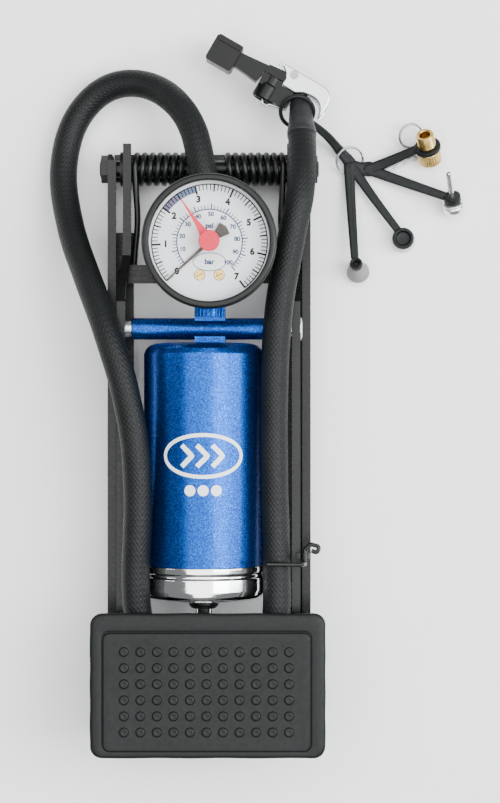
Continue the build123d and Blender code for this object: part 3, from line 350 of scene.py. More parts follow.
def flake_blue():
    """Metallic flake lacquer: small bright and dark flakes under a clear coat."""
    mat, nodes, links, shader = material("barrel_lacquer")
    place = nodes.new("ShaderNodeTexCoord")
    cells = nodes.new("ShaderNodeTexVoronoi")
    cells.inputs["Scale"].default_value = 3200
    links.new(place.outputs["Object"], cells.inputs["Vector"])
    split = nodes.new("ShaderNodeSeparateColor")
    links.new(cells.outputs["Color"], split.inputs["Color"])
    tone = ramp(nodes, links, split.outputs["Red"], [
        (0.0, (0.0002, 0.023, 0.16)), (0.5, (0.0005, 0.044, 0.26)), (0.85, (0.002, 0.08, 0.38)),
        (1.0, (0.010, 0.16, 0.58))])
    links.new(tone.outputs["Color"], shader.inputs["Base Color"])
    gloss(nodes, links, split.outputs["Green"], shader, 0.24, 0.42, (0, 1))
    bump(nodes, links, split.outputs["Blue"], shader, 0.2, 0.04 * MM)
    shader.inputs["Metallic"].default_value = 0.92
    shader.inputs["Coat Weight"].default_value = 0.10
    shader.inputs["Coat Roughness"].default_value = 0.10
    return mat


def chrome():
    """Bright plate with faint turning lines."""
    mat, nodes, links, shader = material("bright_chrome")
    lines = noise(nodes, links, 60, 3.0, stretch=(1, 60, 1))
    shader.inputs["Base Color"].default_value = (0.86, 0.87, 0.88, 1)
    shader.inputs["Metallic"].default_value = 1.0
    gloss(nodes, links, lines.outputs["Fac"], shader, 0.05, 0.16)
    bump(nodes, links, lines.outputs["Fac"], shader, 0.25, 0.01 * MM)
    return mat


def hose_rubber():
    """Rubber hose marked by its cloth wrapping: crossed threads, their tops lightened as a painted highlight.
    """
    mat, nodes, links, shader = material("hose_rubber")
    place = nodes.new("ShaderNodeTexCoord")
    split = nodes.new("ShaderNodeSeparateXYZ")
    links.new(place.outputs["UV"], split.inputs["Vector"])

    def sine(source, length):
        turn = nodes.new("ShaderNodeMath")
        turn.operation = "MULTIPLY"
        turn.inputs[1].default_value = 2 * math.pi / length
        links.new(source, turn.inputs[0])
        wave = nodes.new("ShaderNodeMath")
        wave.operation = "SINE"
        links.new(turn.outputs[0], wave.inputs[0])
        return wave.outputs[0]

    def joined(kind, first, second):
        node = nodes.new("ShaderNodeMath")
        node.operation = kind
        links.new(first, node.inputs[0])
        links.new(second, node.inputs[1])
        return node.outputs[0]

    across = sine(split.outputs["X"], HOSE_WEAVE * MM)
    around = sine(split.outputs["Y"], 2 * math.pi * HOSE_R / HOSE_THREADS)
    ribs = nodes.new("ShaderNodeMath")
    ribs.operation = "MULTIPLY"
    ribs.inputs[1].default_value = 0.35
    links.new(across, ribs.inputs[0])
    height = joined("ADD", joined("MULTIPLY", across, around), ribs.outputs[0])
    blotch = noise(nodes, links, 90, 4.0)
    fine = noise(nodes, links, 1500, 2.0)
    tone = ramp(nodes, links, blotch.outputs["Fac"], [
        (0.3, (0.0022, 0.0030, 0.0031)), (0.7, (0.0042, 0.0054, 0.0056))])
    # Painted highlight: the tops of the threads get a lighter colour, standing in for the light they catch.
    thread_top_highlight = nodes.new("ShaderNodeMixRGB")
    thread_top_highlight.blend_type = "MIX"
    thread_top_highlight.inputs["Color2"].default_value = (0.0080, 0.0100, 0.0100, 1)
    links.new(spread(nodes, links, height, 0.0, 0.7, (0.2, 1.3)).outputs["Result"], thread_top_highlight.inputs["Fac"])
    links.new(tone.outputs["Color"], thread_top_highlight.inputs["Color1"])
    links.new(thread_top_highlight.outputs["Color"], shader.inputs["Base Color"])
    gloss(nodes, links, fine.outputs["Fac"], shader, 0.42, 0.62)
    shader.inputs["Specular IOR Level"].default_value = 0.22
    first = bump(nodes, links, height, shader, 0.7, 0.10 * MM)
    bump(nodes, links, fine.outputs["Fac"], shader, 0.3, 0.05 * MM, first)
    return mat


def clear_lens():
    """A thin clear lens: mostly see-through, with the light's reflection on it."""
    mat, nodes, links, shader = material("clear_lens")
    haze = noise(nodes, links, 300, 3.0)
    gloss(nodes, links, haze.outputs["Fac"], shader, 0.02, 0.06)
    shader.inputs["Base Color"].default_value = (0.2, 0.22, 0.24, 1)
    shader.inputs["Specular IOR Level"].default_value = 0.25
    shader.inputs["Alpha"].default_value = 0.02
    return mat


def brass_metal():
    """Turned brass, tarnished unevenly."""
    mat, nodes, links, shader = material("turned_brass")
    big = noise(nodes, links, 160, 5.0)
    tone = ramp(nodes, links, big.outputs["Fac"], [
        (0.3, (0.42, 0.26, 0.07)), (0.55, (0.72, 0.50, 0.17)), (0.75, (0.88, 0.68, 0.30))])
    links.new(tone.outputs["Color"], shader.inputs["Base Color"])
    shader.inputs["Metallic"].default_value = 1.0
    fine = noise(nodes, links, 1200, 3.0)
    gloss(nodes, links, fine.outputs["Fac"], shader, 0.18, 0.4)
    bump(nodes, links, fine.outputs["Fac"], shader, 0.4, 0.02 * MM)
    return mat


HOSE_R = 6.5 * MM
HOSE_WEAVE, HOSE_THREADS = 2.6, 22

FRAME_BLACK = surface("satin_black", (0.0032, 0.0036, 0.0037), 0.30, tint=0.3, grain=700,
                      grain_depth=0.03,
                      rough_spread=0.07, spec=0.26)
SPRING_BLACK = surface("spring_black", (0.0036, 0.0044, 0.0042), 0.34, tint=0.3, grain=800, spec=0.34)
ZINC = surface("bright_zinc", (0.76, 0.77, 0.79), 0.28, metal=0.92, tint=0.06, grain=500,
               grain_depth=0.01)
BRACKET = surface("pressed_zinc", (0.60, 0.615, 0.635), 0.24, metal=0.88, tint=0.03, grain=120,
                  grain_depth=0.01,
                  rough_spread=0.05)
NYLON = surface("bush_nylon", (0.006, 0.006, 0.0062), 0.45, tint=0.2, spec=0.22)
WIRE_STEEL = surface("wire_steel", (0.40, 0.41, 0.43), 0.28, metal=0.94, tint=0.1, grain=400,
                     grain_depth=0.01)
# Painted shade: a darker steel colour for the chuck's pin, standing in for the shade round it.
PIN_PAINTED_SHADE = surface("pin_painted_shade", (0.30, 0.29, 0.27), 0.34, metal=0.9, tint=0.15, grain=500,
                    grain_depth=0.01)
RUBBER = surface("matt_rubber", (0.006, 0.006, 0.0065), 0.6, tint=0.25, grain=600,
                 grain_depth=0.05, spec=0.25)
PAD_RUBBER = surface("pad_rubber", (0.0046, 0.0060, 0.0058), 0.46, tint=0.16, grain=520, grain_depth=0.05,
                     blotch=38, rough_spread=0.08, spec=0.2)
BLUE = flake_blue()
CHROME = chrome()
PLASTIC = surface("black_nylon", (0.0030, 0.0032, 0.0036), 0.34, tint=0.2, grain=500,
                  grain_depth=0.006, spec=0.2,
                  rough_spread=0.05)
BRASS = brass_metal()
GAUGE_GREY = surface("gauge_enamel", (0.0052, 0.0060, 0.0055), 0.34, tint=0.12, grain=300,
                     grain_depth=0.01,
                     spec=0.24)
LENS = clear_lens()
DIAL_WHITE = surface("dial_white", (0.80, 0.82, 0.85), 0.5, tint=0.015, grain=900,
                     grain_depth=0.004, spec=0.3)
NEEDLE_BLACK = surface("needle_black", (0.055, 0.045, 0.035), 0.45, tint=0.2, spec=0.3)
RED = surface("marker_red", (0.66, 0.012, 0.045), 0.35, tint=0.04, grain=400, grain_depth=0.01, spec=0.3)
HOSE = hose_rubber()
SLEEVE = surface("sleeve_rubber", (0.0125, 0.0128, 0.0140), 0.5, tint=0.12, grain=400,
                 grain_depth=0.02, spec=0.25)
STRAP = surface("strap_rubber", (0.0045, 0.0060, 0.0062), 0.5, tint=0.2, grain=600,
                grain_depth=0.03, spec=0.22)
PALE = surface("pale_plastic", (0.66, 0.65, 0.63), 0.45, tint=0.05, spec=0.3)
GREY = surface("grey_plastic", (0.22, 0.21, 0.205), 0.5, tint=0.08, grain=300, grain_depth=0.05, spec=0.3)
NICKEL = surface("bright_nickel", (0.80, 0.79, 0.77), 0.22, metal=0.95, tint=0.05, grain=300,
                 grain_depth=0.008)
INK_WHITE = surface("white_print", (0.86, 0.88, 0.90), 0.4, tint=0.02, grain=900, grain_depth=0.004)
INK_BLACK = surface("black_print", (0.006, 0.005, 0.006), 0.5, tint=0.2, spec=0.1)
INK_BLUE = surface("blue_print", (0.012, 0.028, 0.11), 0.5, tint=0.15, spec=0.1)
# Painted shade: a dark brown for the rings round the dial screws and the lines in their slots.
SCREW_SHADE = surface("screw_painted_shade", (0.16, 0.085, 0.03), 0.5, tint=0.2, spec=0.2)
INK_SLATE = surface("slate_print", (0.10, 0.16, 0.27), 0.5, tint=0.1)
INK_MAUVE = surface("mauve_print", (0.14, 0.12, 0.24), 0.5, tint=0.1)

FINISHES = {
    "frame_black": FRAME_BLACK, "zinc_steel": ZINC, "spring_black": SPRING_BLACK, "bush_nylon": NYLON,
    "foot_rubber": RUBBER, "pad_rubber": PAD_RUBBER, "barrel_blue": BLUE, "cap_chrome": CHROME,
    "gland_plastic": PLASTIC, "brass": BRASS, "gauge_black": GAUGE_GREY, "gauge_glass": LENS,
    "dial_white": DIAL_WHITE, "needle_black": NEEDLE_BLACK, "marker_red": RED, "hose_rubber": HOSE,
    "sleeve_grey": SLEEVE, "chuck_plastic": PLASTIC, "strap_rubber": STRAP, "adaptor_pale": PALE,
    "adaptor_grey": GREY,
}
# The chuck's pin takes the darker painted shade colour.
OWN_FINISH = {"chuck_pin": PIN_PAINTED_SHADE, "clip_chain": WIRE_STEEL}
for entry in frame["record"]["subparts"]:
    node = frame["nodes"][entry["node"]]
    node.data.materials.clear()
    finish = OWN_FINISH.get(entry["node"], FINISHES[entry["material_slot"]])
    node.data.materials.append(finish)

# ---- hose ----
HOSE_ROUTE = [
    (0.0006, 0.0743, 0.0340),
    (0.0000, 0.1010, 0.0350),
    (-0.0026, 0.1280, 0.0370),
    (-0.0085, 0.1525, 0.0300),
    (-0.0265, 0.1695, 0.0180),
    (-0.0495, 0.1695, 0.0105),
    (-0.0655, 0.1515, 0.0085),
    (-0.0700, 0.1255, 0.0120),
    (-0.0635, 0.0960, 0.0245),
    (-0.0530, 0.0710, 0.0410),
    (-0.0445, 0.0490, 0.0515),
    (-0.0370, 0.0250, 0.0534),
    (-0.0322, -0.0020, 0.0530),
    (-0.0314, -0.0320, 0.0524),
    (-0.0332, -0.0600, 0.0508),
    (-0.0314, -0.0830, 0.0468),
    (-0.0248, -0.1005, 0.0466),
    (-0.0095, -0.1115, 0.0465),
    (0.0100, -0.1115, 0.0465),
    (0.0255, -0.1005, 0.0465),
    (0.0316, -0.0810, 0.0468),
    (0.0308, -0.0470, 0.0474),
    (0.0297, -0.0080, 0.0480),
    (0.0298, 0.0280, 0.0482),
    (0.0316, 0.0620, 0.0484),
    (0.0376, 0.0940, 0.0476),
    (0.0435, 0.1215, 0.0465),
    (0.0429, 0.1420, 0.0330),
]
hose_path = smooth_path(HOSE_ROUTE)
hose_points, hose_along = resample(hose_path, 1.0 * MM)


def hose_wave(along, angle):
    """Faint swelling of a hand-wrapped hose."""
    return 0.00006 * math.sin(along * 210 + 2 * math.sin(angle)) - 0.00006


NECK_LONG = 30.0 * MM  # first stretch of the hose, made as a piece of its own
neck_count = int(round(NECK_LONG / (hose_along[1] - hose_along[0])))
neck_path = [Vector((0.6, 70.6, 34.0)) * MM] + hose_points[:neck_count + 1]
neck = tube("hose_neck", neck_path, HOSE_R, step=0.8 * MM, segments=40, wave=hose_wave)
neck.data.materials.append(HOSE)
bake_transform(neck)

hose_run = hose_points[neck_count:]
hose = tube("pump_hose", hose_run, HOSE_R, step=0.8 * MM, segments=40, wave=hose_wave)
finish_piece(hose, HOSE, "lever", "hose_rubber", "hose")

# ---- barrel ----
BARREL_AT = (-2.3, 0, 32.0)
barrel = lathe("pump_barrel", BARREL_AT, (0, 1, 0), [
    (26.0, -61), (26.9, -61), (26.9, -55.2), (27.5, -55.0), (27.5, 42), (26.6, 44.4), (25.0, 45.9),
    (22.8, 46.7), (19.5, 47), (0, 47), (0, 44.5), (22, 44.5), (26, 40.5), (26.0, -61)], segments=160)
finish_piece(barrel, BLUE, "barrel", "barrel_blue", "barrel_tube")
cap = lathe("pump_cap", BARREL_AT, (0, 1, 0), [
    (26.9, -54.9), (27.7, -54.8), (27.95, -55.2), (27.9, -57.6), (27.2, -58.5), (27.2, -59.5), (27.95, -60.3),
    (27.95, -66.0), (27.5, -68.0), (26.4, -69.4), (24.4, -70.3), (21, -70.8), (12, -71.0), (6.75, -71.0),
    (6.75, -69), (22.9, -68.4), (25.9, -66.5), (25.9, -61.0), (26.9, -61.0), (26.9, -54.9)],
    segments=160, soften=0.35)
finish_piece(cap, CHROME, "barrel", "cap_chrome", "barrel_cap")
gland = lathe("pump_gland", BARREL_AT, (0, 1, 0), [
    (4.05, -75), (5.4, -75), (6.75, -73.6), (6.75, -67.6), (9.5, -67.6), (9.5, -66), (4.05, -66),
    (4.05, -75)])
finish_piece(gland, PLASTIC, "barrel", "gland_plastic", "rod_gland")
trunnion = lathe("trunnion_sleeve", (0, 53.7, 32.0), (1, 0, 0), [
    (3.05, -35.5), (5.0, -35.5), (5.0, 35.5), (3.05, 35.5), (3.05, -35.5)], soften=0.5)
finish_piece(trunnion, BLUE, "barrel", "barrel_blue", "trunnion_tube")

PRINT_R = 27.55


def on_barrel(across, along):
    """A point of the print, by its distance round and along the barrel in mm."""
    a = across / PRINT_R
    return Vector((BARREL_AT[0] + PRINT_R * math.sin(a), along, BARREL_AT[2] + PRINT_R * math.cos(a))) * MM


def band(line, width, place, closed=False):
    """(verts, faces) of a printed stroke; place(x, y) puts a point of it in metres."""
    count = len(line)
    verts, faces = [], []
    for i, (x, y) in enumerate(line):
        before = line[(i - 1) % count] if closed or i else line[i]
        after = line[(i + 1) % count] if closed or i < count - 1 else line[i]
        run = Vector((after[0] - before[0], after[1] - before[1])).normalized() * (width / 2)
        verts += [place(x - run.y, y + run.x), place(x + run.y, y - run.x)]
    for i in range(count if closed else count - 1):
        n = (i + 1) % count
        faces.append((2 * i, 2 * i + 1, 2 * n + 1, 2 * n))
    return verts, faces


EMBLEM_X, EMBLEM_Y = 0.3, -4.2
EMBLEM_HALF, EMBLEM_HIGH, EMBLEM_LINE = 18.4, 9.4, 1.7
CHEVRON_ARM, CHEVRON_STEP, CHEVRON_LINE = 4.8, 7.0, 2.2
CHEVRON_TIP = 2.0  # how far a chevron's tip is past its place in the row
DOT_R, DOT_STEP, DOT_Y, DOT_SIDES = 2.5, 6.0, -19.8, 28
oval = ellipse(EMBLEM_X, EMBLEM_Y, EMBLEM_HALF, EMBLEM_HIGH, 96)
emblem_parts = [band(oval, EMBLEM_LINE, on_barrel, closed=True)]
for place in (-1, 0, 1):
    tip = EMBLEM_X + place * CHEVRON_STEP + CHEVRON_TIP
    reach = CHEVRON_ARM * np.linspace(0, 1, 10)
    arrow = [(tip - r, EMBLEM_Y - r) for r in reach[::-1]] + [(tip - r, EMBLEM_Y + r) for r in reach[1:]]
    emblem_parts.append(band(arrow, CHEVRON_LINE, on_barrel))
    middle = EMBLEM_X + place * DOT_STEP
    dot = [(middle, DOT_Y)] + ellipse(middle, DOT_Y, DOT_R, DOT_R, DOT_SIDES)
    emblem_parts.append(([on_barrel(x, y) for x, y in dot],
                         [(0, 1 + k, 1 + (k + 1) % DOT_SIDES) for k in range(DOT_SIDES)]))
finish_piece(merged("barrel_print", emblem_parts, solid=False), INK_WHITE, "barrel", "dial_white")

# ---- gauge ----
GAUGE_AT = (0.8, 91.8, 0)
case = lathe("gauge_shell", GAUGE_AT, (0, 0, 1), [
    (0, 46), (26, 46), (28.1, 46.9), (29, 49), (29, 64), (27.8, 64), (27.8, 49.4), (25.8, 47.4), (0, 47.4)],
    segments=128)
finish_piece(case, GAUGE_GREY, "barrel", "gauge_black", "gauge_case")
bezel = lathe("gauge_rim", GAUGE_AT, (0, 0, 1), [
    (29, 58.5), (29.9, 58.5), (30.2, 59.2), (30.2, 66.4), (29.7, 67.3), (28.9, 67.6), (27.6, 67.6),
    (27.1, 67.2), (26.8, 66.2), (26.8, 65.7), (28.1, 65.7), (28.1, 64), (29, 64), (29, 58.5)],
    segments=160, soften=0.5)
finish_piece(bezel, GAUGE_GREY, "barrel", "gauge_black", "gauge_bezel")
lens = lathe("gauge_window", GAUGE_AT, (0, 0, 1), [
    (1.3, 64.0), (28.1, 64.0), (28.1, 65.6), (1.3, 65.6), (1.3, 64.0)], segments=128, soften=0.1)
finish_piece(lens, LENS, "barrel", "gauge_glass", "gauge_lens")

DIAL_TOP = 57.8
ZERO_AT, BAR_TURN, PSI_TURN = 222.0, 39.15, 2.7
SCALE_R = 25.9


def on_face(x, y, lift=0.03):
    """A point of the dial from its centre, in mm, just above its paint."""
    return Vector((GAUGE_AT[0] + x, GAUGE_AT[1] + y, DIAL_TOP + lift)) * MM


def on_dial(radius, degrees, lift=0.03):
    """A point on the dial by radius and angle."""
    a = math.radians(degrees)
    return on_face(radius * math.cos(a), radius * math.sin(a), lift)


def tick(inner, outer, degrees, width):
    """(verts, faces) of one scale line."""
    turn = math.radians(degrees)
    side = Vector((-math.sin(turn), math.cos(turn), 0)) * (width / 2) * MM
    low, high = on_dial(inner, degrees), on_dial(outer, degrees)
    return [low - side, high - side, high + side, low + side], [(0, 1, 2, 3)]


def arc(inner, outer, start, end, lift=0.02):
    """(verts, faces) of a curved band on the dial."""
    steps = max(2, int(abs(end - start) / 2))
    verts, faces = [], []
    for i in range(steps + 1):
        a = start + (end - start) * i / steps
        verts += [on_dial(inner, a, lift), on_dial(outer, a, lift)]
        if i:
            faces.append((2 * i - 2, 2 * i - 1, 2 * i + 1, 2 * i))
    return verts, faces


def lettering(words, size, weight):
    """(verts, faces) of centred words, each (text, x, y) in mm on the dial."""
    parts = []
    for body, x, y in words:
        curve = bpy.data.curves.new("letters", "FONT")
        curve.body = body
        curve.size = size
        curve.align_x = "CENTER"
        curve.align_y = "CENTER"
        curve.offset = weight
        curve.resolution_u = 4
        letters = bpy.data.objects.new("letters", curve)
        mesh = bpy.data.meshes.new_from_object(letters)
        verts = [on_face(x + v.co.x, y + v.co.y, 0.04) for v in mesh.vertices]
        parts.append((verts, [tuple(p.vertices) for p in mesh.polygons]))
        bpy.data.objects.remove(letters)
        bpy.data.curves.remove(curve)
        bpy.data.meshes.remove(mesh)
    return parts


def printed(name, parts, ink, slot="needle_black"):
    """Flat print on the gauge."""
    finish_piece(merged(name, parts, smooth=False, solid=False), ink, "barrel", slot)


def spaced(labels, radius, turn, start=ZERO_AT):
    """Words set round the dial, upright."""
    out = []
    for i, label in enumerate(labels):
        a = math.radians(start - turn * i)
        out.append((label, radius * math.cos(a), radius * math.sin(a)))
    return out


scale = []
for tenth in range(71):
    inner, width = 23.3, 0.44
    if tenth % 5 == 0:
        inner, width = 22.7, 0.7
    if tenth % 10 == 0:
        inner, width = 21.9, 0.9
    scale.append(tick(inner, SCALE_R, ZERO_AT - BAR_TURN * tenth / 10, width))
scale.append(arc(SCALE_R - 0.2, SCALE_R + 0.35, ZERO_AT, ZERO_AT - 7 * BAR_TURN))
printed("dial_scale", scale, INK_BLACK)
INNER_R = 14.8
BADGE_Y, BADGE_WIDE, BADGE_HIGH, BADGE_LINE = -8.9, 7.36, 4.05, 0.31
inner_scale = []
for unit in range(0, 101, 2):
    outer, width = 16.5, 0.38
    if unit % 10 == 0:
        outer, width = 17.3, 0.56
    inner_scale.append(tick(INNER_R, outer, ZERO_AT - PSI_TURN * unit, width))
inner_scale.append(arc(INNER_R - 0.35, INNER_R + 0.15, ZERO_AT, ZERO_AT - 100 * PSI_TURN))
inner_scale.append(band(ellipse(0, BADGE_Y, BADGE_WIDE, BADGE_HIGH, 60), BADGE_LINE, on_face, closed=True))
printed("dial_inner_scale", inner_scale, INK_BLUE)
BAND_LOW, BAND_MIDDLE, BAND_HIGH = 143.7, 126, 104.55
printed("dial_band_high", [arc(22.9, 25.8, BAND_MIDDLE, BAND_HIGH, 0.015)], INK_SLATE)
printed("dial_band_low", [arc(22.9, 25.8, BAND_LOW, BAND_MIDDLE, 0.015)], INK_MAUVE)
bar_words = spaced([str(n) for n in range(8)], 19.7, BAR_TURN)
printed("dial_figures", lettering(bar_words, 4.0, 0.22), INK_BLACK)
psi_words = spaced([str(n) for n in range(10, 101, 10)], 12.5, 10 * PSI_TURN, ZERO_AT - 10 * PSI_TURN)
printed("dial_inner_figures", lettering(psi_words, 2.7, 0.11), INK_BLUE)
unit_words = [("psi", 0, 7.3), ("bar", 0, BADGE_Y)]
printed("dial_units", lettering(unit_words, 3.3, 0.14), INK_BLUE)
dial = lathe("gauge_face", GAUGE_AT, (0, 0, 1), [
    (2.2, 57.0), (27.7, 57.0), (27.7, 57.8), (2.2, 57.8), (2.2, 57.0)], segments=128, soften=0.1)
finish_piece(dial, DIAL_WHITE, "barrel", "dial_white", "gauge_dial")

# Painted shade: dark rings round and on top of the two dial screws, and dark lines along their slots.
SCREW_AT, SCREW_TOP = (4.4, -14.8), 58.52
SCREW_SIDES = 48
SLOT_HALF, SLOT_WIDE, SLOT_TURN = 1.2, 0.2, math.radians(25)
slot_along = Vector((math.cos(SLOT_TURN), math.sin(SLOT_TURN), 0))
slot_over = Vector((-math.sin(SLOT_TURN), math.cos(SLOT_TURN), 0))
screw_shade_parts = []
for side in (-1, 1):
    middle = Vector((GAUGE_AT[0] + side * SCREW_AT[0], GAUGE_AT[1] + SCREW_AT[1], 0))
    for inner, outer, height in ((2.2, 2.5, DIAL_TOP + 0.03), (1.25, 1.45, SCREW_TOP)):
        verts = [(middle + Vector((x, y, height))) * MM
                 for r in (outer, inner) for x, y in ellipse(0, 0, r, r, SCREW_SIDES)]
        screw_shade_parts.append((verts, skin(2, SCREW_SIDES, ends=False)))
    corners = [(u * SLOT_HALF, v * SLOT_WIDE) for u, v in ((-1, -1), (1, -1), (1, 1), (-1, 1))]
    verts = [(middle + slot_along * x + slot_over * y + Vector((0, 0, SCREW_TOP))) * MM for x, y in corners]
    screw_shade_parts.append((verts, [(0, 1, 2, 3)]))
printed("screw_painted_shade_marks", screw_shade_parts, SCREW_SHADE, "brass")

# Red marker: a knob with an eased edge over a slim pointer that narrows quickly, then slowly.
knob = lathe("marker_knob", GAUGE_AT, (0, 0, 1), [
    (0, 62.4), (3.2, 62.4), (3.2, 63.2), (1.2, 63.2), (1.2, 65.7), (4.7, 65.7), (4.7, 67.3), (0, 67.4)],
    segments=96, soften=0.4)
finish_piece(knob, RED, "marker", "marker_red", "target_marker")
POINTER_TURN = math.radians(124)


def on_pointer(x, y, z):
    """A point along and across the pointer, in mm."""
    c, n = math.cos(POINTER_TURN), math.sin(POINTER_TURN)
    return Vector((GAUGE_AT[0] + x * c - y * n, GAUGE_AT[1] + x * n + y * c, z)) * MM


pointer_side = [(2.6, 2.5), (6.0, 1.75), (10.0, 1.05), (15.0, 0.6), (22.7, 0.22)]
pointer_outline = pointer_side + [(x, -w) for x, w in reversed(pointer_side)]
pointer = merged("marker_pointer", [plate(pointer_outline, on_pointer, 62.45, 63.15)], smooth=False)
finish_piece(pointer, RED, "marker", "marker_red")


# ---- pedal pad ----
def round_rect(x0, x1, y0, y1, radius, z, wobble):
    """Points round a rectangle with rounded corners, its sides a little uneven."""
    corner_steps, side_steps = 10, 24
    points = []
    corners = [(x1 - radius, y0 + radius, -90), (x1 - radius, y1 - radius, 0),
               (x0 + radius, y1 - radius, 90), (x0 + radius, y0 + radius, 180)]
    for i, (cx, cy, start) in enumerate(corners):
        for k in range(corner_steps + 1):
            a = math.radians(start + 90 * k / corner_steps)
            points.append((cx + radius * math.cos(a), cy + radius * math.sin(a)))
        here = points[-1]
        nx, ny, nstart = corners[(i + 1) % 4]
        b = math.radians(nstart)
        there = (nx + radius * math.cos(b), ny + radius * math.sin(b))
        for k in range(1, side_steps):
            t = k / side_steps
            points.append((here[0] + (there[0] - here[0]) * t, here[1] + (there[1] - here[1]) * t))
    middle_y = (PAD[2] + PAD[3]) / 2
    out = []
    for x, y in points:
        x_in = wobble * (0.5 + 0.5 * math.sin(y * 0.36 + 1.3 * math.sin(x * 0.05))) * math.copysign(1, x)
        y_in = wobble * (0.5 + 0.5 * math.sin(x * 0.21)) * math.copysign(1, y - middle_y)
        out.append(Vector((x - x_in, y - y_in, z)) * MM)
    return out


PAD = (-53.0, 53.0, -140.0, -74.8)  # left, right, front and back
PANEL = (-47.0, 46.0, -136.5, -83.5)
PAD_WOBBLE = 0.2


def pad_ring(toward, radius, z):
    """A ring of the pad part of the way from its outline to its raised panel."""
    x0, x1, y0, y1 = (o + (p - o) * toward for o, p in zip(PAD, PANEL))
    return round_rect(x0, x1, y0, y1, radius, z, PAD_WOBBLE * (1 - toward))


pad_rings = [
    pad_ring(0.3, 4.0, 56.62), pad_ring(0.06, 5.2, 56.62), pad_ring(0.0, 5.4, 57.0),
    pad_ring(0.0, 5.4, 58.5), pad_ring(0.03, 5.3, 58.95), pad_ring(0.12, 5.0, 59.35),
    pad_ring(0.26, 4.6, 59.62), pad_ring(0.5, 4.0, 59.72), pad_ring(0.86, 3.5, 59.76),
    pad_ring(0.91, 3.4, 59.62), pad_ring(0.95, 3.3, 59.3), pad_ring(0.985, 3.2, 59.3),
    pad_ring(1.0, 3.1, 59.5), pad_ring(1.012, 3.0, 60.1), pad_ring(1.04, 2.8, 60.36),
    pad_ring(1.1, 2.6, 60.42), pad_ring(1.5, 2.2, 60.36), pad_ring(2.4, 1.6, 60.28),
]
pad = loft("pedal_rubber", pad_rings)
finish_piece(pad, PAD_RUBBER, "lever", "pad_rubber", "pedal_pad")
STUD_PROFILE = [(2.35, 60.2), (2.2, 60.42), (2.05, 60.75), (1.75, 60.96), (1.1, 61.0), (0.8, 60.9),
                (0.0, 60.86)]
STUD_COLUMNS, STUD_ROWS, STUD_SIDES = 11, 6, 20
STUD_STEP_X, STUD_STEP_Y = 7.4, 7.2
STUDS_X, STUDS_Y = -0.5, -110.0
studs = []
for column in range(STUD_COLUMNS):
    for row in range(STUD_ROWS):
        cx = STUDS_X + STUD_STEP_X * (column - (STUD_COLUMNS - 1) / 2)
        cy = STUDS_Y + STUD_STEP_Y * (row - (STUD_ROWS - 1) / 2)
        verts = [Vector((x, y, h)) * MM
                 for r, h in STUD_PROFILE for x, y in ellipse(cx, cy, r, r, STUD_SIDES)]
        studs.append((verts, skin(len(STUD_PROFILE), STUD_SIDES, ends=False)))
finish_piece(merged("pedal_studs", studs), PAD_RUBBER, "lever", "pad_rubber")

# ---- torsion springs: wound between the strip on the base and the lever's cross plate ----
HINGE = (129.0, 16.0)  # y and z of the shaft that the lever turns on
COIL_R, COIL_PITCH, COIL_TURNS, COIL_START = 6.55, 3.6, 7.25, 8.5
COIL_WIRE = 1.45
for hand, side in (("left", -1), ("right", 1)):
    start_x, end_x = side * COIL_START, side * (COIL_START + COIL_PITCH * COIL_TURNS)
    route = [Vector((start_x, HINGE[0] + COIL_R, z)) * MM for z in np.linspace(6, 15.2, 12)]
    for t in np.linspace(0, COIL_TURNS, 420):
        a = 2 * math.pi * t
        route.append(Vector((start_x + side * COIL_PITCH * t, HINGE[0] + COIL_R * math.cos(a),
                             HINGE[1] + COIL_R * math.sin(a))) * MM)
    leg = [(end_x, HINGE[0], 22.55), (end_x - side * 0.6, 116, 21.5), (end_x - side * 1.5, 104, 20.6),
           (end_x + side * 0.6, 86, 18.4), (end_x + side * 0.8, 76, 18.35)]
    route += smooth_path([Vector(p) * MM for p in leg])[1:]
    spring = tube("spring_" + hand, route, COIL_WIRE * MM, step=0.75 * MM, segments=16)
    spring.data.materials.append(SPRING_BLACK)
    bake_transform(spring)
    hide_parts("torsion_spring_" + hand)

# ---- end of the hose, adaptors and rings ----
end_at = Vector(HOSE_ROUTE[-1])
end_way = (end_at - Vector(HOSE_ROUTE[-2])).normalized()
sleeve = lathe("end_sleeve", end_at / MM, end_way, [
    (0, 0), (6.3, 0), (6.75, 0.5), (6.75, 3.2), (6.5, 4.2), (5.9, 8.0), (5.35, 14.5), (5.0, 19.2), (4.6, 20),
    (0, 20)],
    segments=64, soften=0.6)
pieces_on_hose = [finish_piece(sleeve, SLEEVE, "lever", "sleeve_grey", "hose_sleeve")]


def adaptor(name, foot, lean, profile, mat, slot, *nodes, wave=None, segments=96, soften=0.25):
    """A turned adaptor standing at its foot, on the hose's strap."""
    piece = lathe(name, foot, lean, profile, segments=segments, soften=soften, wave=wave)
    pieces_on_hose.append(finish_piece(piece, mat, "lever", slot, *nodes))


def knurl(angle, height):
    """Straight knurling round the brass adaptor's base."""
    ridges, depth = 28, 0.035
    if not 0.7 < height < 6.5:
        return 1.0
    return 1 - depth * (0.5 + 0.5 * math.cos(ridges * angle))


brass_profile = [(2.6, 0), (5.0, 0), (5.35, 0.6), (5.4, 0.9), (5.4, 3.5), (5.4, 6.3), (5.3, 6.6), (5.0, 7.0),
                 (3.9, 7.0), (3.9, 10.0)]
for turn in range(6):
    brass_profile += [(4.3, 10.4 + turn), (4.0, 10.9 + turn)]
brass_profile += [(4.2, 16.2), (3.9, 16.8), (2.9, 16.8), (2.6, 16.4), (2.6, 0)]
BRASS_AT, BRASS_LEAN = (104.6, 134.4, 3.9), (-0.23, 0.65, 0.73)
NEEDLE_AT, NEEDLE_LEAN = (115.9, 109.9, 3.6), (-0.18, 0.74, 0.65)
CUP_AT, CUP_LEAN = (92.0, 96.6, 0.5), (-0.09, 0.08, 1.0)
CONE_AT, CONE_LEAN = (70.5, 81.2, 1.9), (-0.15, 0.34, 1.0)
adaptor("brass_fitting", BRASS_AT, BRASS_LEAN, brass_profile, BRASS, "brass", "brass_adaptor",
        wave=knurl, segments=196, soften=0.12)
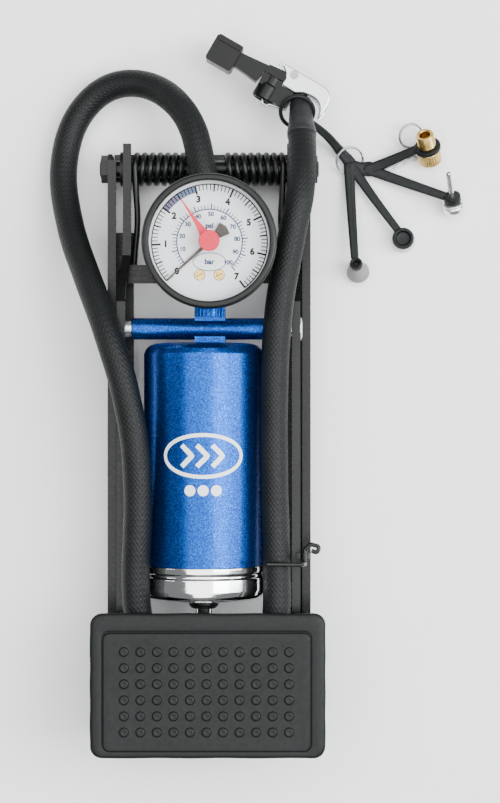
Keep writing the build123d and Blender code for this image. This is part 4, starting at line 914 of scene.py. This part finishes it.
adaptor("ball_fitting", NEEDLE_AT, NEEDLE_LEAN, [
    (0, 0), (3.6, 0), (4.2, 0.6), (4.8, 1.6), (5.0, 2.2), (5.0, 4.4), (4.6, 4.8), (4.6, 5.2), (5.0, 5.6),
    (4.9, 6.2), (3.4, 6.6), (3.4, 9.0), (1.5, 9.4), (1.35, 10.2), (1.3, 22.0), (1.15, 22.9), (0.85, 23.3),
    (0.75, 21.0), (0, 20.9)], NICKEL, "zinc_steel", "ball_needle")
adaptor("cup_fitting", CUP_AT, CUP_LEAN, [
    (0, 0), (5.2, 0), (5.7, 0.6), (5.7, 4.6), (5.2, 5.4), (0, 5.5)], PALE, "adaptor_pale", "cup_adaptor")
adaptor("cup_ring", CUP_AT, CUP_LEAN, [
    (0, 5.6), (4.8, 5.6), (5.1, 6.2), (5.1, 8.2), (4.7, 8.8), (4.0, 8.9), (3.4, 8.6), (3.1, 7.2), (0, 6.9)],
    STRAP, "strap_rubber")
adaptor("cone_fitting", CONE_AT, CONE_LEAN, [
    (1.2, 0), (4.9, 0), (5.3, 0.6), (5.3, 1.8), (4.9, 2.6), (3.0, 9.0), (2.2, 11.8), (1.2, 11.9), (1.2, 0)],
    GREY, "adaptor_grey", "cone_adaptor")
adaptor("cone_ring", CONE_AT, CONE_LEAN, [
    (1.1, 9.8), (3.0, 9.6), (3.1, 11.4), (2.9, 12.7), (2.5, 13.1), (2.0, 13.0), (1.5, 12.4), (1.1, 11.6),
    (1.1, 9.8)], STRAP, "strap_rubber")


def ribbon(points, widths, thick):
    """(verts, faces) of a flat rubber arm along a smooth line, with rounded edges."""
    path, along = resample(smooth_path([Vector(p) * MM for p in points]), 0.8 * MM)
    spans = np.linspace(0, along[-1], len(widths))
    section = [(1, -0.25), (1, 0.25), (0.86, 0.5), (0.3, 0.5), (0, 0.42), (-0.3, 0.5), (-0.86, 0.5),
               (-1, 0.25), (-1, -0.25), (-0.86, -0.5), (0.86, -0.5)]
    verts = []
    for i, p in enumerate(path):
        way = (path[min(i + 1, len(path) - 1)] - path[max(i - 1, 0)]).normalized()
        side = way.cross(Vector((0, 0, 1))).normalized()
        up = side.cross(way)
        half = np.interp(along[i], spans, widths) / 2 * MM
        verts += [p + side * (u * half) + up * (v * thick * MM) for u, v in section]
    return verts, skin(len(path), len(section))


def hoop(foot, lean, height, radius, bore, thick):
    """(verts, faces) of a rubber ring round an adaptor."""
    segments = 64
    axis = Vector(lean).normalized()
    side, up = axes_along(axis)
    around = [(bore, 0), (radius, 0), (radius, thick), (bore, thick), (bore, 0), (radius, 0)]
    section = rounded(around, 0.6)[1:-1]
    verts, faces = [], []
    size = len(section)
    for k in range(segments):
        a = 2 * math.pi * k / segments
        out = side * math.cos(a) + up * math.sin(a)
        verts += [(Vector(foot) + out * r + axis * (height + h)) * MM for r, h in section]
        n = (k + 1) % segments
        for j in range(size):
            m = (j + 1) % size
            faces.append((k * size + j, k * size + m, n * size + m, n * size + j))
    return verts, faces


HUB_A, HUB_B = (67.8, 130.8, 2.7), (75.4, 130.6, 2.7)
ARM_THICK, HUB_THICK = 1.8, 1.9
from_loop = [(46.4, 151.0, 21.4), (50.5, 148.6, 16.0), (56.5, 144.6, 8.6), (63.0, 137.5, 2.9),
             (66.4, 134.0, 2.7), HUB_A]
hub = [(64.2, 131.4, 2.7), HUB_A, (71.6, 130.6, 2.7), HUB_B, (79.5, 130.4, 2.8)]
to_brass = [(73.4, 129.8, 2.7), (78.4, 131.4, 3.2), (87.0, 134.8, 6.0), (97.4, 138.9, 10.0)]
to_needle = [(73.4, 131.0, 2.7), (79.0, 129.0, 3.1), (94.0, 123.2, 6.0), (111.6, 116.8, 8.9)]
to_cup = [(66.6, 132.4, 2.7), (69.8, 128.0, 2.9), (79.0, 114.4, 5.0), (89.4, 100.5, 7.2)]
to_cone = [(66.0, 132.6, 2.7), (66.2, 127.0, 3.0), (67.2, 106.0, 7.0), (68.3, 87.6, 11.4)]
strap_parts = [
    ribbon(from_loop, (2.8, 3.6, 3.9, 4.1, 5.0, 6.4), ARM_THICK),
    ribbon(hub, (4.6, 8.2, 6.2, 7.2, 5.2), HUB_THICK),
    ribbon(to_brass, (5.0, 4.9, 4.5, 4.1), ARM_THICK),
    ribbon(to_needle, (5.2, 4.9, 4.4, 4.0), ARM_THICK),
    ribbon(to_cup, (5.0, 4.4, 3.9, 3.6), ARM_THICK),
    ribbon(to_cone, (5.0, 4.6, 4.2, 3.7), ARM_THICK),
    hoop(BRASS_AT, BRASS_LEAN, 7.5, 6.3, 3.95, 2.3),
    hoop(NEEDLE_AT, NEEDLE_LEAN, 6.6, 4.1, 1.4, 3.6),
]
strap = merged("adaptor_strap_rubber", strap_parts)
loop_axis = Vector((0, -0.5, 0.866))
loop_side, loop_up = axes_along(loop_axis)
LOOP_AT, LOOP_R = (40.9, 154.9, 23.6), 7.7
loop_path = [(Vector(LOOP_AT) + (loop_side * math.cos(a) + loop_up * math.sin(a)) * LOOP_R) * MM
             for a in np.linspace(0, 2 * math.pi, 90)]
loop = tube("strap_loop", loop_path, 0.95 * MM, step=0.7 * MM, segments=16, capped=False)
pieces_on_hose.append(finish_piece(strap, STRAP, "lever", "strap_rubber", "adaptor_strap"))
pieces_on_hose.append(finish_piece(loop, STRAP, "lever", "strap_rubber"))

RING_WIRE, RING_TURNED = 0.52, math.radians(35)


def split_ring(name, centre, radius, tilt, *nodes):
    """A double turn of wire."""
    turn = Matrix.Rotation(RING_TURNED, 4, "Z") @ Matrix.Rotation(math.radians(tilt), 4, "X")
    path = []
    for a in np.linspace(0.2, 4 * math.pi - 0.2, 150):
        rise = 0.84 * RING_WIRE * (a / (2 * math.pi) - 1)
        path.append((Vector(centre) + turn @ Vector((radius * math.cos(a), radius * math.sin(a), rise))) * MM)
    ring = tube(name, path, RING_WIRE * MM, step=0.5 * MM, segments=12)
    pieces_on_hose.append(finish_piece(ring, WIRE_STEEL, "lever", "zinc_steel", *nodes))


split_ring("ring_near", (66.2, 134.4, 4.1), 6.5, 28, "split_rings")
split_ring("ring_far", (95.2, 146.2, 4.2), 5.7, 30)

# Bracket of the chuck: two cheeks with rolled edges, and the fold between them.
CHUCK_AT, CHUCK_TURN = (39.5, 171.9, 19.0), math.radians(150)
CHEEK = [(9.7, 2.4), (6.0, 0.6), (3.6, -1.2), (2.7, -3.4), (2.6, -6.6), (-1.0, -6.9), (-4.3, -7.0),
         (-6.2, -6.0), (-8.0, -5.0), (-11.6, -4.4), (-14.2, -4.6), (-15.9, -5.3), (-17.5, -6.6),
         (-18.5, -8.2), (-18.9, -11.0), (-20.0, -11.4), (-20.7, -9.6), (-20.9, -6.6), (-20.7, -4.0),
         (-20.4, -2.2), (-19.8, -0.8), (-18.8, 0.6), (-17.6, 1.6), (-16.2, 2.2), (-15.0, 2.4),
         (-10, 2.5), (-5.0, 2.5), (0, 2.5), (5.0, 2.45)]
FOLD_PART = slice(17, 26)  # the stretch of the outline where the two cheeks are one sheet
FOLD_THICK = 0.9


def on_chuck(x, y, z):
    """A point in the chuck's own plane, in mm; z is up."""
    c, n = math.cos(CHUCK_TURN), math.sin(CHUCK_TURN)
    return Vector((CHUCK_AT[0] + x * c + y * n, CHUCK_AT[1] + x * n - y * c, CHUCK_AT[2] + z)) * MM


def inset(outline, by):
    """An outline that runs clockwise, moved inwards by an even distance."""
    out = []
    for i, here in enumerate(outline):
        before, after = Vector(outline[i - 1]), Vector(outline[(i + 1) % len(outline)])
        run = (after - before).normalized()
        out.append((here[0] + run.y * by, here[1] - run.x * by))
    return out


cheek_parts = []
for side in (-1, 1):
    verts = []
    for step_in, height in ((0.9, 5.0), (0.1, 5.0), (0.0, 5.25), (0.12, 5.6), (0.4, 5.85), (0.9, 6.0)):
        verts += [on_chuck(x, y, side * height) for x, y in inset(CHEEK, step_in)]
    cheek_parts.append((verts, skin(6, len(CHEEK))))
fold_outline = CHEEK[FOLD_PART] + inset(CHEEK, FOLD_THICK)[FOLD_PART][::-1]
cheek_parts.append(plate(fold_outline, on_chuck, -5.2, 5.2))
bracket = merged("chuck_cheeks", cheek_parts)
bracket.modifiers.new("even normals", "WEIGHTED_NORMAL")
pieces_on_hose.append(finish_piece(bracket, BRACKET, "lever", "zinc_steel", "chuck_bracket"))
CLIP_WIRE = 0.55
clip_line = [(34.5, 156.6, 21), (31.0, 157.6, 21.3), (28.4, 158.6, 21.6), (26.2, 158.0, 22),
             (24.6, 159.2, 22.2), (24.9, 161.2, 22.2), (26.8, 161.8, 22), (28.3, 160.4, 21.8),
             (27.8, 158.4, 21.0)]
clip = tube("chuck_clip", [Vector(p) * MM for p in clip_line], CLIP_WIRE * MM, step=0.5 * MM, segments=12)
pieces_on_hose.append(finish_piece(clip, WIRE_STEEL, "lever", "zinc_steel"))

# ---- softened edges on the pressed and machined pieces ----
EDGES = {"base_rail_left": 0.45, "base_rail_right": 0.45, "lever_rail_left": 0.45, "lever_rail_right": 0.45,
         "base_front_plate": 0.4, "base_rear_strip": 0.4, "lever_cross_plate": 0.4, "pedal_pan": 0.3,
         "shaft_nuts": 0.4, "hinge_shaft": 0.3, "front_pin": 0.3, "pin_spacers": 0.3, "catch_lug": 0.3,
         "outlet_block": 0.15, "chuck_body": 0.4, "chuck_lever": 0.5, "chuck_pin": 0.2,
         "rod_eye": 0.4, "gauge_screws": 0.15, "gauge_needle": 0.1,
         "rubber_feet": 0.4, "hinge_bushes": 0.2, "trunnion_collars": 0.2, "clip_chain": 0.15}
for node, width in EDGES.items():
    bevelled(frame["nodes"][node], width)

# ---- floor and light ----
FLOOR_HALF = 9.0
floor_corners = [(x * FLOOR_HALF, y * FLOOR_HALF, 0) for x, y in ((-1, -1), (1, -1), (1, 1), (-1, 1))]
floor = add_mesh("floor", floor_corners, [(0, 1, 2, 3)])
floor.data.materials.append(surface("floor_paper", (0.97, 0.97, 0.97), 0.9, tint=0.005, grain=200))


def area_light(name, at, aim, size, power, colour=(1, 1, 1)):
    """A soft rectangular light."""
    data = bpy.data.lights.new(name, "AREA")
    data.shape = "RECTANGLE"
    data.size, data.size_y = size
    data.energy = power
    data.color = colour
    light = bpy.data.objects.new(name, data)
    light.location = at
    light.rotation_euler = (Vector(aim) - Vector(at)).to_track_quat("-Z", "Y").to_euler()
    bpy.context.scene.collection.objects.link(light)


AIM = (0, 0.02, 0.03)
COOL = (0.95, 0.98, 1)
area_light("overhead", (0.15, 0.1, 1.7), AIM, (2.5, 2.6), 86)
area_light("key", (1.25, 0.1, 1.15), AIM, (0.7, 1.9), 40, COOL)
area_light("edge", (-1.5, 0.3, 0.35), AIM, (0.12, 1.3), 5)
world = bpy.data.worlds.new("studio")
world.use_nodes = True
world.node_tree.nodes["Background"].inputs["Color"].default_value = (*COOL, 1)
world.node_tree.nodes["Background"].inputs["Strength"].default_value = 0.24
bpy.context.scene.world = world
